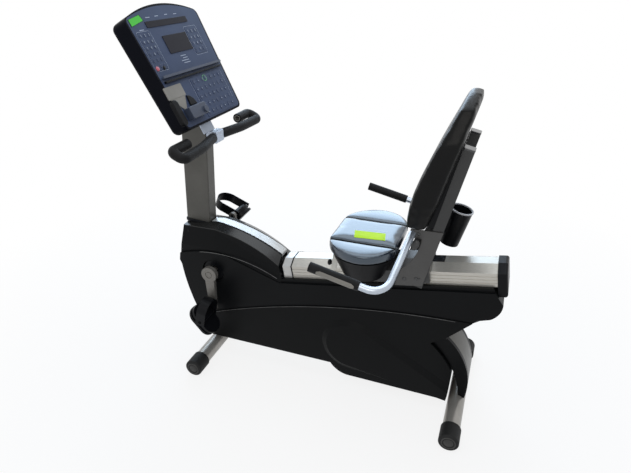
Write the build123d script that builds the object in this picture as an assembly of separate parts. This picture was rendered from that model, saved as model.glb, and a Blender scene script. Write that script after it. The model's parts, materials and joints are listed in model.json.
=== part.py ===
"""Recumbent exercise bike, one solid for each piece, in millimetres.

X runs from the console end (-) to the seat end (+), Y to the rider's right, Z up.
The origin is on the floor, in the middle of the footprint.
"""

import math
import os

from build123d import *

os.makedirs("parts", exist_ok=True)

# ---------------------------------------------------------------- shared sizes
FIT = 0.2  # gap between pieces that are pushed or bolted together
RUN = 0.05  # radial gap of a shaft in its bearing
SIDES = {"left": -1, "right": 1}
ORIGIN_X = -2.26  # from the drawing datum to the middle of the footprint

# feet
FRONT_FOOT_X = -530.0
REAR_FOOT_X = 580.0
FOOT_AXIS_Z = 36.0
FOOT_TUBE_R = 33.5
FOOT_WALL = 3.0
FOOT_CAP_R = 38.5
FOOT_CAP_LENGTH = 72.0
FOOT_CAP_END = 9.0
FOOT_CAP_ROUND = 6.0
FRONT_FOOT_WIDTH = 542.0
REAR_FOOT_WIDTH = 606.0

# rail: an aluminium extrusion that climbs towards the rear
RAIL_SLOPE = 8.8
RAIL_X = -132.0  # front end, at the top face
RAIL_Z = 541.5
RAIL_LENGTH = 828.0
RAIL_HALF_TOP = 25.6
RAIL_HALF_WIDTH = 66.0
RAIL_SHOULDER_DROP = 20.0
RAIL_HEIGHT = 72.6
RAIL_WALL = 4.0
RAIL_RIB_COUNT = 3
RAIL_RIB_PITCH = 13.0
RAIL_RIB_DEPTH = 2.0
RAIL_RIB_WIDTH = 3.0
RAIL_CAP_LENGTH = 34.0
RAIL_CAP_LIP = 5.0
RAIL_CAP_SKIRT = 38.0
RAIL_CAP_ROUND = 9.0
TROUGH_LENGTH = 40.0

# welded frame inside the shroud
FRAME_HALF = 30.0
BEAM_HEIGHT = 60.0
COLUMN_DEPTH = 56.0
COLUMN_TOP_Z = 340.0
HOUSING_TOP_Z = 560.0
HOUSING_DEPTH = 150.0
HOUSING_X = -520.0

# shroud
SHROUD_FRONT_X = -636.0
SHROUD_TOP_HALF = 66.0
SHROUD_HALF = 80.0
SHROUD_BULGE = 8.0
SHROUD_TOP_Z = 632.0
SHROUD_BOTTOM_Z = 97.0
SHROUD_SEAM_GAP = 2.0
SHROUD_LEAN_FRONT = 86.0  # height of the side that leans in under the top edge
SHROUD_LEAN_REAR = 34.0
BEND_X = -470.0  # where the top edge starts to fall
LEDGE_DROP = 16.0
SHOULDER_RISE = 34.0
SHOULDER_THICK = 3.0
SHOULDER_MID_X = -332.0
SHOULDER_MID_Z = 595.0
SHOULDER_TAIL_X = -186.0
SHOULDER_TAIL_Z = 511.0
TOP_COVER_HALF = 24.5
TOP_COVER_THICK = 12.0
TOP_COVER_SEAM = 1.5
CASING_HALF = 84.0
CASING_RELIEF = 12.0
CASING_END_X = 538.0
BELLY_Z = 47.0
HEEL_Z = 40.0
FLYWHEEL_X = 136.0
FLYWHEEL_Z = 212.0
FLYWHEEL_R = 126.0
FLYWHEEL_BEVEL = 24.0
TAPER_X = 572.0
TAPER_TOP_Z = 109.0
TAPER_LOW_Z = 45.0
TAIL_TIP_X = 598.0
TAIL_TIP_Z = 432.0
CRANK_RECESS_R = 51.0
CRANK_RECESS_DEPTH = 12.0

# rear leg
LEG_HALF = 60.0
LEG_COVER_HALF = 78.0
LEG_GAP = 3.0
LEG_TOP_X0 = 462.0
LEG_TOP_X1 = 498.0

# post, with the console on its slanted top
POST_DEPTH = 112.0
POST_WIDTH = 58.0
POST_WALL = 3.0
POST_CORNER = 6.0
POST_LEAN = 4.3
POST_BASE_X = -577.5  # axis at POST_BASE_Z
POST_BASE_Z = 560.0
POST_LENGTH = 564.4  # along the axis to the slanted top
COLLAR_WALL = 4.0
COLLAR_HEIGHT = 10.5
COLLAR_LIFT = 5.0  # above the shroud's top edge
CONSOLE_TILT = 26.6
CONSOLE_HALF_BOTTOM = 192.0
CONSOLE_HALF_TOP = 212.0
CONSOLE_HEIGHT = 400.0
CONSOLE_ARCH = 32.0
CONSOLE_MOUNT_DEPTH = 60.0  # face to the bracket
CONSOLE_MOUNT_H = 59.4  # up the face, where the post's axis meets it
CONSOLE_DEPTH = 74.0
CONSOLE_RIM = 8.0
CONSOLE_CORNER = 18.0
CONSOLE_BACK_ROUND = 18.0
FACE_THICK = 3.0
BRACKET_THICK = 6.0
BRACKET_WIDTH = 76.0
BRACKET_LOW = -44.0
BRACKET_HEIGHT = 240.0

# items on the console's face, up the face from its lower edge
LEDGE_H = 0.455 * CONSOLE_HEIGHT
LEDGE_HALF = 194.0
LEDGE_DEPTH = 13.0
LEDGE_LIP = 9.0
LEDGE_SHEET = 3.0
DISPLAY_H = 0.73 * CONSOLE_HEIGHT
DISPLAY_WIDTH = 147.0
DISPLAY_HEIGHT = 66.0
READOUT_H = 0.928 * CONSOLE_HEIGHT
READOUT_WIDTH = 252.0
READOUT_HEIGHT = 22.0
GLASS_THICK = 2.0
PAD_THICK = 1.2
KEY_RISE = 1.0
KEYPADS = [
    # y, share of the face's height, columns, rows, pitch, key diameter
    (-160.0, 0.705, 3, 6, 22.0, 13.0),
    (119.0, 0.72, 3, 4, 24.0, 14.0),
    (62.0, 0.205, 7, 5, 30.0, 16.0),
]
HOLDER_Y = -164.0
HOLDER_H = 131.5
HOLDER_WIDTH = 104.0
HOLDER_HEIGHT = 45.0
HOLDER_THICK = 3.0
POUCH_Y = -206.0
POUCH_H = 58.0
POUCH_WIDTH = 34.0
POUCH_HEIGHT = 96.0
POUCH_THICK = 14.0
BOX_Y = -116.0
BOX_H = 42.0
BOX_WIDTH = 104.0
BOX_HEIGHT = 44.0
BOX_THICK = 28.0
KNOB_R = 12.0
KNOB_RISE = 7.0

# front handlebar
BAR_R = 12.5
BAR_WALL = 2.5
BAR_AHEAD = 12.6  # middle of the bar, before the face's lower edge
BAR_BELOW = 81.4
BAR_REACH = 290.0
BAR_BEND_R = 19.4
BAR_MIDDLE_R = 60.0
BAR_ELBOW_R = 160.0
BAR_RETURN_Y = 189.0
BAR_SWEEP = 36.0
BAR_TIP_SWEEP = 8.0
BAR_ELBOW_Y = 150.0
BAR_BACK = 46.0
BAR_LIFT = 22.0
BAR_GRIP_WALL = 6.5
BAR_GRIP_START = 34.0
CLAMP_WIDTH = 54.0
CLAMP_HEIGHT = 46.0
CLAMP_DEPTH = 46.0

# crank and pedals
CRANK_X = -487.0
CRANK_Z = 444.0
CRANK_LENGTH = 172.0
CRANK_THICK = 20.0
CRANK_Y = 118.0  # middle of the arm
CRANK_HUB_R = 35.0
CRANK_END_R = 16.0
CRANK_BOLT_R = 13.0
AXLE_R = 12.0
BOSS_R = 47.0
BOSS_BORE_R = 20.0
PEDAL_SPINDLE_R = 7.0
PEDAL_GAP = 8.0
PEDAL_WIDTH = 96.0
PEDAL_LENGTH = 142.0
PEDAL_THICK = 32.0
PEDAL_DROP = 17.0  # spindle to the middle of the tread plate
PEDAL_CORNER = 42.0
PEDAL_WAIST = 5.0
STRAP_THICK = 3.0
STRAP_WIDTH = 42.0
PEDAL_STANCE = {
    # side: tilt of the tread plate, its middle towards the toe, tilt and height of the strap
    "left": (50.0, -8.0, 13.0, 88.0),
    "right": (-46.0, 36.0, -67.0, 114.0),
}

# seat
SEAT_PLATE_THICK = 5.0
CUSHION_HALF = 214.0
CUSHION_TOP_Z = 712.0
CUSHION_THICK = 48.0
CUSHION_FRONT_X = 38.0
CUSHION_REAR_X = 312.0
CUSHION_NOSE_HALF = 92.0
CUSHION_TAIL_HALF = 104.0
CUSHION_ROUND = 14.0
PAN_DEPTH = 92.0
UPRIGHT_Y = 101.0
UPRIGHT_SIZE = 36.0
UPRIGHT_WALL = 2.5
UPRIGHT_LEAN = 13.2
UPRIGHT_FOOT_X = 408.0
UPRIGHT_FOOT_Z = 566.0
UPRIGHT_LENGTH = 536.0
UPRIGHT_TOP_Z = 1084.0
BACK_HALF = 178.0
BACK_LOW_Z = 802.0
BACK_TOP_Z = 1256.0
BACK_LOW_HALF = 150.0
BACK_SHOULDER = 140.0
BACK_SHOULDER_DROP = 34.0
BACK_WAIST_Z = 900.0
BACK_CHEST_Z = 1120.0
BOARD_HALF = 122.0
CARRIAGE_X0 = 150.0
CARRIAGE_X1 = 420.0
CARRIAGE_SKIRT = 60.0
SLIDE_GAP = 0.3

# side handles and bottle holder
GRIP_Y = 372.0
GRIP_R = 17.0
GRIP_FRONT = (72.0, 732.0)
GRIP_LENGTH = 176.0
SEAT_BAR_R = 12.5
SEAT_BAR_BEND_R = 62.0
HANDLE_CORNER = (325.0, 672.0)
HANDLE_ROOT = (360.0, 786.0)
BOTTLE_R = 44.0
BOTTLE_TAPER = 0.86
BOTTLE_WALL = 3.0
BOTTLE_DEPTH = 150.0
BOTTLE_X = 494.0
BOTTLE_Y = 160.0
BOTTLE_TOP_Z = 770.0
BOTTLE_PLATE_X = 400.0
BOTTLE_PLATE_THICK = 4.0
BOTTLE_PLATE_HEIGHT = 60.0

# place of the console and the bar, carried by the post's slanted top
LEAN = math.radians(POST_LEAN)
TILT = math.radians(CONSOLE_TILT)
MOUNT = CONSOLE_MOUNT_DEPTH + BRACKET_THICK + FIT
CONSOLE_X = POST_BASE_X + POST_LENGTH * math.sin(LEAN) + MOUNT * math.cos(TILT) + CONSOLE_MOUNT_H * math.sin(TILT)
CONSOLE_Z = POST_BASE_Z + POST_LENGTH * math.cos(LEAN) + MOUNT * math.sin(TILT) - CONSOLE_MOUNT_H * math.cos(TILT)
BAR_X = CONSOLE_X - BAR_AHEAD
BAR_Z = CONSOLE_Z - BAR_BELOW

made = {}


def keep(name, shape):
    """Files a finished piece under its node name, moved to the footprint's middle."""
    made[name] = Pos(-ORIGIN_X, 0, 0) * shape


def rail_frame():
    """Frame of the rail: X along it, Z square to its top face."""
    return Plane(origin=(RAIL_X, 0, RAIL_Z), x_dir=slope_dir(), z_dir=slope_normal())


def slope_dir():
    return Vector(math.cos(math.radians(RAIL_SLOPE)), 0, math.sin(math.radians(RAIL_SLOPE)))


def slope_normal():
    return Vector(-math.sin(math.radians(RAIL_SLOPE)), 0, math.cos(math.radians(RAIL_SLOPE)))


def rail_z(x, depth=0.0):
    """Height of a face parallel to the rail's top, depth below it, at x."""
    drop = depth / math.cos(math.radians(RAIL_SLOPE))
    return RAIL_Z + (x - RAIL_X) * math.tan(math.radians(RAIL_SLOPE)) - drop


def at(x, z):
    """Point of a side outline."""
    return (x, 0, z)


def face_of(*curves):
    """Face inside curves that meet end to end."""
    return make_face([edge for curve in curves for edge in curve.edges()])


def side_plate(points, y0, y1):
    """Prism of an XZ outline between two Y planes."""
    face = make_face(Polyline(*[at(x, z) for x, z in points], close=True))
    return slab(face, y0, y1)


def slab(face, y0, y1):
    low, high = min(y0, y1), max(y0, y1)
    return extrude(Pos(0, low, 0) * face, amount=high - low, dir=(0, 1, 0))


def mirrored(shape, side):
    """The shape as drawn for the right side, or its mirror image for the left."""
    return shape if side > 0 else mirror(shape, about=Plane.XZ)


def tube(points, radii, outer, wall=None):
    """Tube along straight runs joined by arcs."""
    path = FilletPolyline(*points, radius=radii) if radii else Line(*points)
    section = Circle(outer)
    if wall:
        section -= Circle(outer - wall)
    start = Plane(origin=path @ 0, z_dir=path % 0)
    return sweep(start * section, path=path)


# ------------------------------------------------------------------------ feet
def foot_tube(x, width):
    half = width / 2 - FOOT_CAP_END - FIT
    ring = Circle(FOOT_TUBE_R) - Circle(FOOT_TUBE_R - FOOT_WALL)
    return extrude(Plane(origin=(x, -half, FOOT_AXIS_Z), z_dir=(0, 1, 0)) * ring, amount=2 * half)


def foot_cap(x, width, side):
    """Rubber sleeve with a rounded end and a flat underside."""
    outer = Cylinder(FOOT_CAP_R, FOOT_CAP_LENGTH)
    outer = fillet(outer.edges().sort_by(Axis.Z)[-1], FOOT_CAP_ROUND)
    bore = Pos(0, 0, -FOOT_CAP_END) * Cylinder(FOOT_TUBE_R + FIT, FOOT_CAP_LENGTH)
    middle = Vector(x, side * (width / 2 - FOOT_CAP_LENGTH / 2), FOOT_AXIS_Z)
    cap = Plane(origin=middle, z_dir=(0, side, 0)) * (outer - bore)
    floor = Pos(x, 0, -FOOT_CAP_R) * Box(4 * FOOT_CAP_R, 2 * width, 2 * FOOT_CAP_R)
    return cap - floor


for foot, x, width in (("front", FRONT_FOOT_X, FRONT_FOOT_WIDTH), ("rear", REAR_FOOT_X, REAR_FOOT_WIDTH)):
    keep(f"{foot}_foot", foot_tube(x, width))
    for side_name, side in SIDES.items():
        keep(f"{foot}_foot_cap_{side_name}", foot_cap(x, width, side))


def foot_space(x, gap=FIT):
    """Room that a leg leaves for the foot tube it is welded round."""
    return Plane(origin=(x, 0, FOOT_AXIS_Z), z_dir=(0, 1, 0)) * Cylinder(FOOT_TUBE_R + gap, 400)


# ------------------------------------------------------------------ main frame
HOUSING_FRONT_X = HOUSING_X - HOUSING_DEPTH / 2
HOUSING_REAR_X = HOUSING_X + HOUSING_DEPTH / 2
RAIL_END_X = RAIL_X + RAIL_LENGTH * math.cos(math.radians(RAIL_SLOPE))


def front_column():
    low = FOOT_AXIS_Z
    box = Box(COLUMN_DEPTH, 2 * FRAME_HALF, COLUMN_TOP_Z - low, align=(Align.CENTER, Align.CENTER, Align.MIN))
    return Pos(FRONT_FOOT_X, 0, low) * box - foot_space(FRONT_FOOT_X)


def crank_housing():
    """Welded box that carries the crank's bearings, the post and the beam."""
    height = HOUSING_TOP_Z - COLUMN_TOP_Z
    box = Box(HOUSING_DEPTH, 2 * FRAME_HALF, height, align=(Align.CENTER, Align.CENTER, Align.MIN))
    bore = Plane(origin=(CRANK_X, 0, CRANK_Z), z_dir=(0, 1, 0)) * Cylinder(AXLE_R + RUN, 4 * FRAME_HALF)
    return Pos(HOUSING_X, 0, COLUMN_TOP_Z) * box - bore


def beam():
    """Box tube under the rail, from the crank housing to the rail's end."""
    top = RAIL_HEIGHT
    low = RAIL_HEIGHT + BEAM_HEIGHT
    end_x = RAIL_END_X - RAIL_CAP_LENGTH
    outline = [
        (HOUSING_REAR_X, rail_z(HOUSING_REAR_X, top)),
        (end_x, rail_z(end_x, top)),
        (end_x, rail_z(end_x, low)),
        (HOUSING_REAR_X, rail_z(HOUSING_REAR_X, low)),
    ]
    return side_plate(outline, -FRAME_HALF, FRAME_HALF)


keep("main_frame", front_column() + crank_housing() + beam())


# ------------------------------------------------------------------------ rail
def rail():
    """Hollow extrusion with sloping shoulders and ribbed sides."""
    outline = [
        (-RAIL_HALF_TOP, 0),
        (RAIL_HALF_TOP, 0),
        (RAIL_HALF_WIDTH, -RAIL_SHOULDER_DROP),
        (RAIL_HALF_WIDTH, -RAIL_HEIGHT),
        (-RAIL_HALF_WIDTH, -RAIL_HEIGHT),
        (-RAIL_HALF_WIDTH, -RAIL_SHOULDER_DROP),
    ]
    outer = make_face(Polyline(*outline, close=True))
    section = outer - offset(outer, -RAIL_WALL, kind=Kind.INTERSECTION)
    for count in range(RAIL_RIB_COUNT):
        z = -RAIL_SHOULDER_DROP - RAIL_RIB_PITCH * (count + 1)
        for side in SIDES.values():
            section -= Pos(side * RAIL_HALF_WIDTH, z) * Rectangle(2 * RAIL_RIB_DEPTH, RAIL_RIB_WIDTH)
    start = Plane(origin=(RAIL_X, 0, RAIL_Z), x_dir=(0, 1, 0), z_dir=slope_dir())
    return extrude(start * section, amount=RAIL_LENGTH - RAIL_CAP_LENGTH - FIT)


def rail_prism(grow, start, length, low):
    """Solid of the rail's outer outline, grown outwards, down to low."""
    outline = [
        (-RAIL_HALF_TOP - grow / 2, grow),
        (RAIL_HALF_TOP + grow / 2, grow),
        (RAIL_HALF_WIDTH + grow, -RAIL_SHOULDER_DROP + grow / 2),
        (RAIL_HALF_WIDTH + grow, low),
        (-RAIL_HALF_WIDTH - grow, low),
        (-RAIL_HALF_WIDTH - grow, -RAIL_SHOULDER_DROP + grow / 2),
    ]
    origin = Vector(RAIL_X, 0, RAIL_Z) + slope_dir() * start
    plane = Plane(origin=origin, x_dir=(0, 1, 0), z_dir=slope_dir())
    return extrude(plane * make_face(Polyline(*outline, close=True)), amount=length)


def rail_end_cap():
    """Rounded plastic cap over the rail's rear end."""
    low = -RAIL_HEIGHT - RAIL_CAP_SKIRT
    cap = rail_prism(RAIL_CAP_LIP, RAIL_LENGTH - RAIL_CAP_LENGTH, RAIL_CAP_LENGTH, low)
    rear = cap.faces().sort_by(Axis((0, 0, 0), tuple(slope_dir())))[-1]
    return fillet(rear.edges(), RAIL_CAP_ROUND)


def trough():
    """Silver block that closes the rail's front end."""
    return rail_prism(-1.0, -TROUGH_LENGTH, TROUGH_LENGTH - FIT, -RAIL_HEIGHT)


keep("rail", rail())
keep("rail_end_cap", rail_end_cap())
keep("rail_trough", trough())


# ---------------------------------------------------------------------- shroud
RAIL_END_LOW_X = RAIL_END_X - RAIL_CAP_LENGTH - 2.0
TROUGH_X = RAIL_X - TROUGH_LENGTH
RECESS_Y = SHROUD_HALF + SHROUD_BULGE - CRANK_RECESS_DEPTH
BEYOND = 760.0  # past both ends of the shroud
SEAM = [(-582.0, 200.0), (-100.0, 352.0), (TAIL_TIP_X, TAIL_TIP_Z)]
TAIL = [(692.0, 530.0), (682.0, 490.0), (656.0, 462.0), (622.0, 450.0)]
CREASE = [(-664.0, 498.0), (-450.0, 534.0), (-185.0, 466.0)]


def shoulder_line(rise):
    """Flat stretch beside the post, then the arc that falls to the rail."""
    flat = at(SHROUD_FRONT_X + 14, SHROUD_TOP_Z + 0.05 * rise)
    start = at(BEND_X, SHROUD_TOP_Z + 0.5 * rise)
    middle = at(SHOULDER_MID_X, SHOULDER_MID_Z + 0.6 * rise)
    end = at(SHOULDER_TAIL_X, SHOULDER_TAIL_Z + rise)
    return flat, start, middle, end


def seam_arc():
    return ThreePointArc(*[at(x, z) for x, z in SEAM])


def upper_outline():
    """Side outline of the upper shroud, from its top edge down to the seam."""
    flat, start, middle, end = shoulder_line(0.0)
    nose = at(SHROUD_FRONT_X - 16, 470.0)
    chin = at(SHROUD_FRONT_X - 8, 450.0)
    rail_front = at(TROUGH_X, rail_z(TROUGH_X, RAIL_HEIGHT))
    rail_rear = at(RAIL_END_LOW_X, rail_z(RAIL_END_LOW_X, RAIL_HEIGHT))
    tail = [at(x, z) for x, z in TAIL]
    return face_of(
        Line(flat, start),
        ThreePointArc(start, middle, end),
        Polyline(end, rail_front, rail_rear, tail[0]),
        ThreePointArc(tail[0], tail[1], tail[2]),
        Polyline(tail[2], tail[3], at(*SEAM[2])),
        seam_arc(),
        ThreePointArc(at(*SEAM[0]), at(-622.0, 320.0), chin),
        Polyline(chin, nose, flat),
    )


def lower_outline():
    """Side outline of the lower casing, from the seam to its underside."""
    toe = at(-528.0, SHROUD_BOTTOM_Z)
    step = at(48.0, SHROUD_BOTTOM_Z - 3)
    belly = at(120.0, BELLY_Z)
    heel = at(CASING_END_X, HEEL_Z)
    neck = at(512.0, 345.0)
    return face_of(
        seam_arc(),
        Line(at(*SEAM[2]), neck),
        ThreePointArc(neck, at(545.0, 190.0), heel),
        Line(heel, belly),
        ThreePointArc(belly, at(78.0, BELLY_Z + 16.0), step),
        Polyline(step, toe, at(*SEAM[0])),
    )


def side_wedge(inner, outer, ends):
    """Cutter that leans the side in from outer, depth below the edge, to inner at each end's x and z."""
    far = outer + 40.0
    sections = []
    for x, z, depth in ends:
        corners = [(x, inner, z), (x, inner, z + 40), (x, far, z + 40), (x, far, z - depth), (x, outer, z - depth)]
        sections.append(make_face(Polyline(*corners, close=True)))
    return loft(sections)


def frame_space():
    """Room inside the shroud for the welded frame and the rear leg."""
    gap = Box(HOUSING_DEPTH + 2 * FIT, 2 * (FRAME_HALF + FIT), HOUSING_TOP_Z - COLUMN_TOP_Z + FIT)
    housing = Pos(HOUSING_X, 0, (HOUSING_TOP_Z + COLUMN_TOP_Z) / 2) * gap
    low = FOOT_AXIS_Z
    column = Box(COLUMN_DEPTH + 2 * FIT, 2 * (FRAME_HALF + FIT), COLUMN_TOP_Z - low + FIT)
    column = Pos(FRONT_FOOT_X, 0, (COLUMN_TOP_Z + low) / 2) * column
    return housing + column + beam_space() + leg_stub(FIT)


def leg_band():
    """Side outline of the curved rear leg, down to the foot tube."""
    inner = [at(460, 306), at(530, 226), at(584, 60)]
    outer = [at(507, 341), at(600, 210), at(608, 60)]
    return face_of(
        ThreePointArc(*inner),
        Line(inner[2], outer[2]),
        ThreePointArc(*outer[::-1]),
        Line(outer[0], inner[0]),
    )


def leg_stub(gap=0.0):
    """Part of the leg inside the casing, up to the beam it is welded to."""
    top = RAIL_HEIGHT + BEAM_HEIGHT
    outline = [
        (LEG_TOP_X0 - gap, rail_z(LEG_TOP_X0 - gap, top)),
        (LEG_TOP_X1 + gap, rail_z(LEG_TOP_X1 + gap, top)),
        (LEG_TOP_X1 + gap, 330),
        (LEG_TOP_X0 - gap, 300),
    ]
    return side_plate(outline, -FRAME_HALF - gap, FRAME_HALF + gap)


def rear_leg():
    """Curved steel leg, welded round the rear foot."""
    return slab(leg_band(), -LEG_HALF, LEG_HALF) - foot_space(REAR_FOOT_X) + leg_stub()


def leg_cover():
    """Plastic cheek over one side of the rear leg."""
    return slab(leg_band(), LEG_HALF + FIT, LEG_COVER_HALF) - foot_space(REAR_FOOT_X)


def beam_space():
    low_edge = RAIL_HEIGHT + BEAM_HEIGHT + FIT
    outline = [(x, rail_z(x, depth)) for x, depth in (
        (HOUSING_REAR_X - FIT, RAIL_HEIGHT - 1),
        (RAIL_END_X, RAIL_HEIGHT - 1),
        (RAIL_END_X, low_edge),
        (HOUSING_REAR_X - FIT, low_edge),
    )]
    return side_plate(outline, -FRAME_HALF - FIT, FRAME_HALF + FIT)


def leg_space():
    """Room in the casing for the rear leg and its cheeks."""
    return slab(offset(leg_band(), LEG_GAP), -200, 200)


def upper_shroud():
    """Right half of the upper shroud, with the ledge over the crank."""
    outline = upper_outline()
    half = slab(outline, SHROUD_SEAM_GAP / 2, SHROUD_HALF)
    depth = RAIL_HEIGHT + LEDGE_DROP
    end = at(BEYOND, rail_z(BEYOND, depth))
    ledge = face_of(
        ThreePointArc(*[at(x, z) for x, z in CREASE]),
        Polyline(at(*CREASE[2]), at(TROUGH_X, rail_z(TROUGH_X, depth)), end),
        Polyline(end, at(BEYOND, 0), at(-BEYOND, 0), at(-BEYOND, CREASE[0][1]), at(*CREASE[0])),
    )
    bulge = slab(ledge, SHROUD_HALF - 1, SHROUD_HALF + SHROUD_BULGE) & slab(outline, 0, 200)
    half += bulge
    front = (-BEYOND, SHROUD_TOP_Z, SHROUD_LEAN_FRONT)
    bend = (BEND_X, SHROUD_TOP_Z, SHROUD_LEAN_FRONT)
    rear = (TROUGH_X, SHOULDER_TAIL_Z - SHROUD_LEAN_REAR, SHROUD_LEAN_REAR)
    for ends in ((front, bend), (bend, rear)):
        half -= side_wedge(SHROUD_TOP_HALF, SHROUD_HALF, ends)
    recess = Plane(origin=(CRANK_X, RECESS_Y, CRANK_Z), z_dir=(0, 1, 0))
    half -= extrude(recess * Circle(CRANK_RECESS_R), amount=CRANK_RECESS_DEPTH * 4)
    return half - frame_space() - post_space() - axle_space() - end_cap_space()


def lower_casing():
    """Right half of the lower casing, with the raised flywheel cover."""
    outline = lower_outline()
    half = slab(outline, SHROUD_SEAM_GAP / 2, CASING_HALF + SHROUD_BULGE)
    half += flywheel_cover()
    return half - frame_space() - foot_space(FRONT_FOOT_X, 3.0) - foot_space(REAR_FOOT_X, 3.0) - leg_space()


def flywheel_outline(inset):
    """Round cover that tapers to the rear foot."""
    radius = FLYWHEEL_R - inset
    wheel = Pos(FLYWHEEL_X, FLYWHEEL_Z) * Circle(radius)
    tip = Polyline((TAPER_X - inset, TAPER_TOP_Z - inset), (TAPER_X - inset, TAPER_LOW_Z))
    return make_hull(wheel.edges() + tip.edges())


def flywheel_cover():
    """Raised cover on the casing with a bevelled rim."""
    side = CASING_HALF + SHROUD_BULGE
    plane = Plane(origin=(0, side - 1, 0), x_dir=(1, 0, 0), z_dir=(0, -1, 0))
    low = plane * flywheel_outline(0)
    high = Plane(origin=(0, side + CASING_RELIEF, 0), x_dir=(1, 0, 0), z_dir=(0, -1, 0)) * flywheel_outline(FLYWHEEL_BEVEL)
    return loft([low, high]) & slab(lower_outline(), 0, 200)


def end_cap_space():
    low = -RAIL_HEIGHT - RAIL_CAP_SKIRT - 1.0
    return rail_prism(RAIL_CAP_LIP + 1.0, RAIL_LENGTH - RAIL_CAP_LENGTH - 1.0, RAIL_CAP_LENGTH + 40, low)


def post_space():
    return post_solid(0.5)


def axle_space():
    return Plane(origin=(CRANK_X, 0, CRANK_Z), z_dir=(0, 1, 0)) * Cylinder(AXLE_R + 4, 400)


def post_frame():
    across, along = (math.cos(LEAN), 0, -math.sin(LEAN)), (math.sin(LEAN), 0, math.cos(LEAN))
    return Plane(origin=(POST_BASE_X, 0, POST_BASE_Z), x_dir=across, z_dir=along)


def post_section(grow):
    return RectangleRounded(POST_DEPTH + 2 * grow, POST_WIDTH + 2 * grow, POST_CORNER + grow)


def post_solid(grow):
    return post_frame() * extrude(post_section(grow), amount=POST_LENGTH + POST_DEPTH)


def post():
    """Rectangular tube, square on the crank housing and cut to the console's tilt."""
    wall = post_solid(0) - post_solid(-POST_WALL)
    top = console_frame() * Pos(0, 0, -MOUNT)
    beyond = top * Box(400, 900, 400, align=(Align.CENTER, Align.CENTER, Align.MIN))
    below = Pos(POST_BASE_X, 0, POST_BASE_Z) * Box(400, 400, 100, align=(Align.CENTER, Align.CENTER, Align.MAX))
    return wall - beyond - below


def console_frame():
    """Frame of the console's face: X to the right, Y up the face, Z out of it."""
    normal = (math.cos(TILT), 0, math.sin(TILT))
    return Plane(origin=(CONSOLE_X, 0, CONSOLE_Z), x_dir=(0, 1, 0), z_dir=normal)


def post_collar():
    """Dark sleeve round the post, seated in the shoulders."""
    height = (SHROUD_TOP_Z + COLLAR_LIFT - POST_BASE_Z) / math.cos(LEAN)
    ring = post_section(COLLAR_WALL) - post_section(FIT)
    return post_frame() * Pos(0, 0, height) * extrude(ring, amount=COLLAR_HEIGHT)


def shoulder():
    """Silver band that slopes from the shroud's edge to the top cover."""
    low = face_of_shoulder(0.0, SHROUD_TOP_HALF)
    high = face_of_shoulder(SHOULDER_RISE, TOP_COVER_HALF + TOP_COVER_SEAM)
    return loft([low, high]) - post_solid(COLLAR_WALL + FIT)


def top_cover():
    """Raised strip between the shoulders, from the post down to the rail."""
    top = [Vector(point) for point in shoulder_line(SHOULDER_RISE + SHOULDER_THICK)]
    low = [point - Vector(0, 0, TOP_COVER_THICK) for point in top]
    outline = face_of(
        Line(top[0], top[1]),
        ThreePointArc(*top[1:]),
        Line(top[3], low[3]),
        ThreePointArc(*low[:0:-1]),
        Line(low[1], low[0]),
        Line(low[0], top[0]),
    )
    return slab(outline, -TOP_COVER_HALF, TOP_COVER_HALF) - post_solid(COLLAR_WALL + FIT) - upper_block()


def upper_block():
    """Room that the two halves of the shroud fill."""
    return slab(offset(upper_outline(), FIT), -SHROUD_HALF, SHROUD_HALF)


def face_of_shoulder(rise, y):
    top = [point + Vector(0, 0, SHOULDER_THICK) for point in map(Vector, shoulder_line(rise))]
    low = [Vector(point) for point in shoulder_line(0.0)]
    edges = [
        Line(top[0], top[1]),
        ThreePointArc(*top[1:]),
        Line(top[3], low[3]),
        ThreePointArc(*low[:0:-1]),
        Line(low[1], low[0]),
        Line(low[0], top[0]),
    ]
    return Pos(0, y, 0) * face_of(*edges)


keep("rear_leg", rear_leg())
keep("post", post())
keep("post_collar", post_collar())
keep("top_cover", top_cover())
for side_name, side in SIDES.items():
    keep(f"shroud_{side_name}", mirrored(upper_shroud(), side))
    keep(f"casing_{side_name}", mirrored(lower_casing(), side))
    keep(f"shoulder_{side_name}", mirrored(shoulder(), side))
    keep(f"leg_cover_{side_name}", mirrored(leg_cover(), side))


# --------------------------------------------------------------------- console
def console_outline(grow):
    """Face outline: straight sides that widen upwards and an arched top."""
    low, high = CONSOLE_HALF_BOTTOM + grow, CONSOLE_HALF_TOP + grow
    corners = [(-high, CONSOLE_HEIGHT), (-low, -grow), (low, -grow), (high, CONSOLE_HEIGHT)]
    sides = Polyline(*corners)
    arch = ThreePointArc(corners[3], (0, CONSOLE_HEIGHT + CONSOLE_ARCH + grow), corners[0])
    face = make_face([edge for curve in (sides, arch) for edge in curve.edges()])
    return fillet(face.vertices(), CONSOLE_CORNER + grow)


def console_housing():
    """Moulded tray behind the face, notched round the bracket and the post."""
    rim = extrude(Pos(0, 0, -CONSOLE_DEPTH) * console_outline(CONSOLE_RIM), amount=CONSOLE_DEPTH)
    rim = fillet(rim.faces().sort_by(Axis.Z)[0].edges(), CONSOLE_BACK_ROUND)
    pocket = extrude(Pos(0, 0, -FACE_THICK) * console_outline(FIT), amount=FACE_THICK + 1)
    deep = CONSOLE_DEPTH - CONSOLE_MOUNT_DEPTH
    notch = Box(BRACKET_WIDTH + 2 * FIT, CONSOLE_HEIGHT, 2 * deep)
    high = BRACKET_LOW + BRACKET_HEIGHT + FIT - CONSOLE_HEIGHT / 2
    return console_frame() * (rim - pocket - Pos(0, high, -CONSOLE_MOUNT_DEPTH - deep) * notch)


def console_face():
    return console_frame() * Pos(0, 0, -FACE_THICK) * extrude(console_outline(0), amount=FACE_THICK)


def on_face(y, h, shape):
    """The shape standing on the console's face at y, h."""
    return console_frame() * Pos(y, h, 0) * shape


def raised(width, height, thick, corner):
    return extrude(RectangleRounded(width, height, corner), amount=thick)


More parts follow.
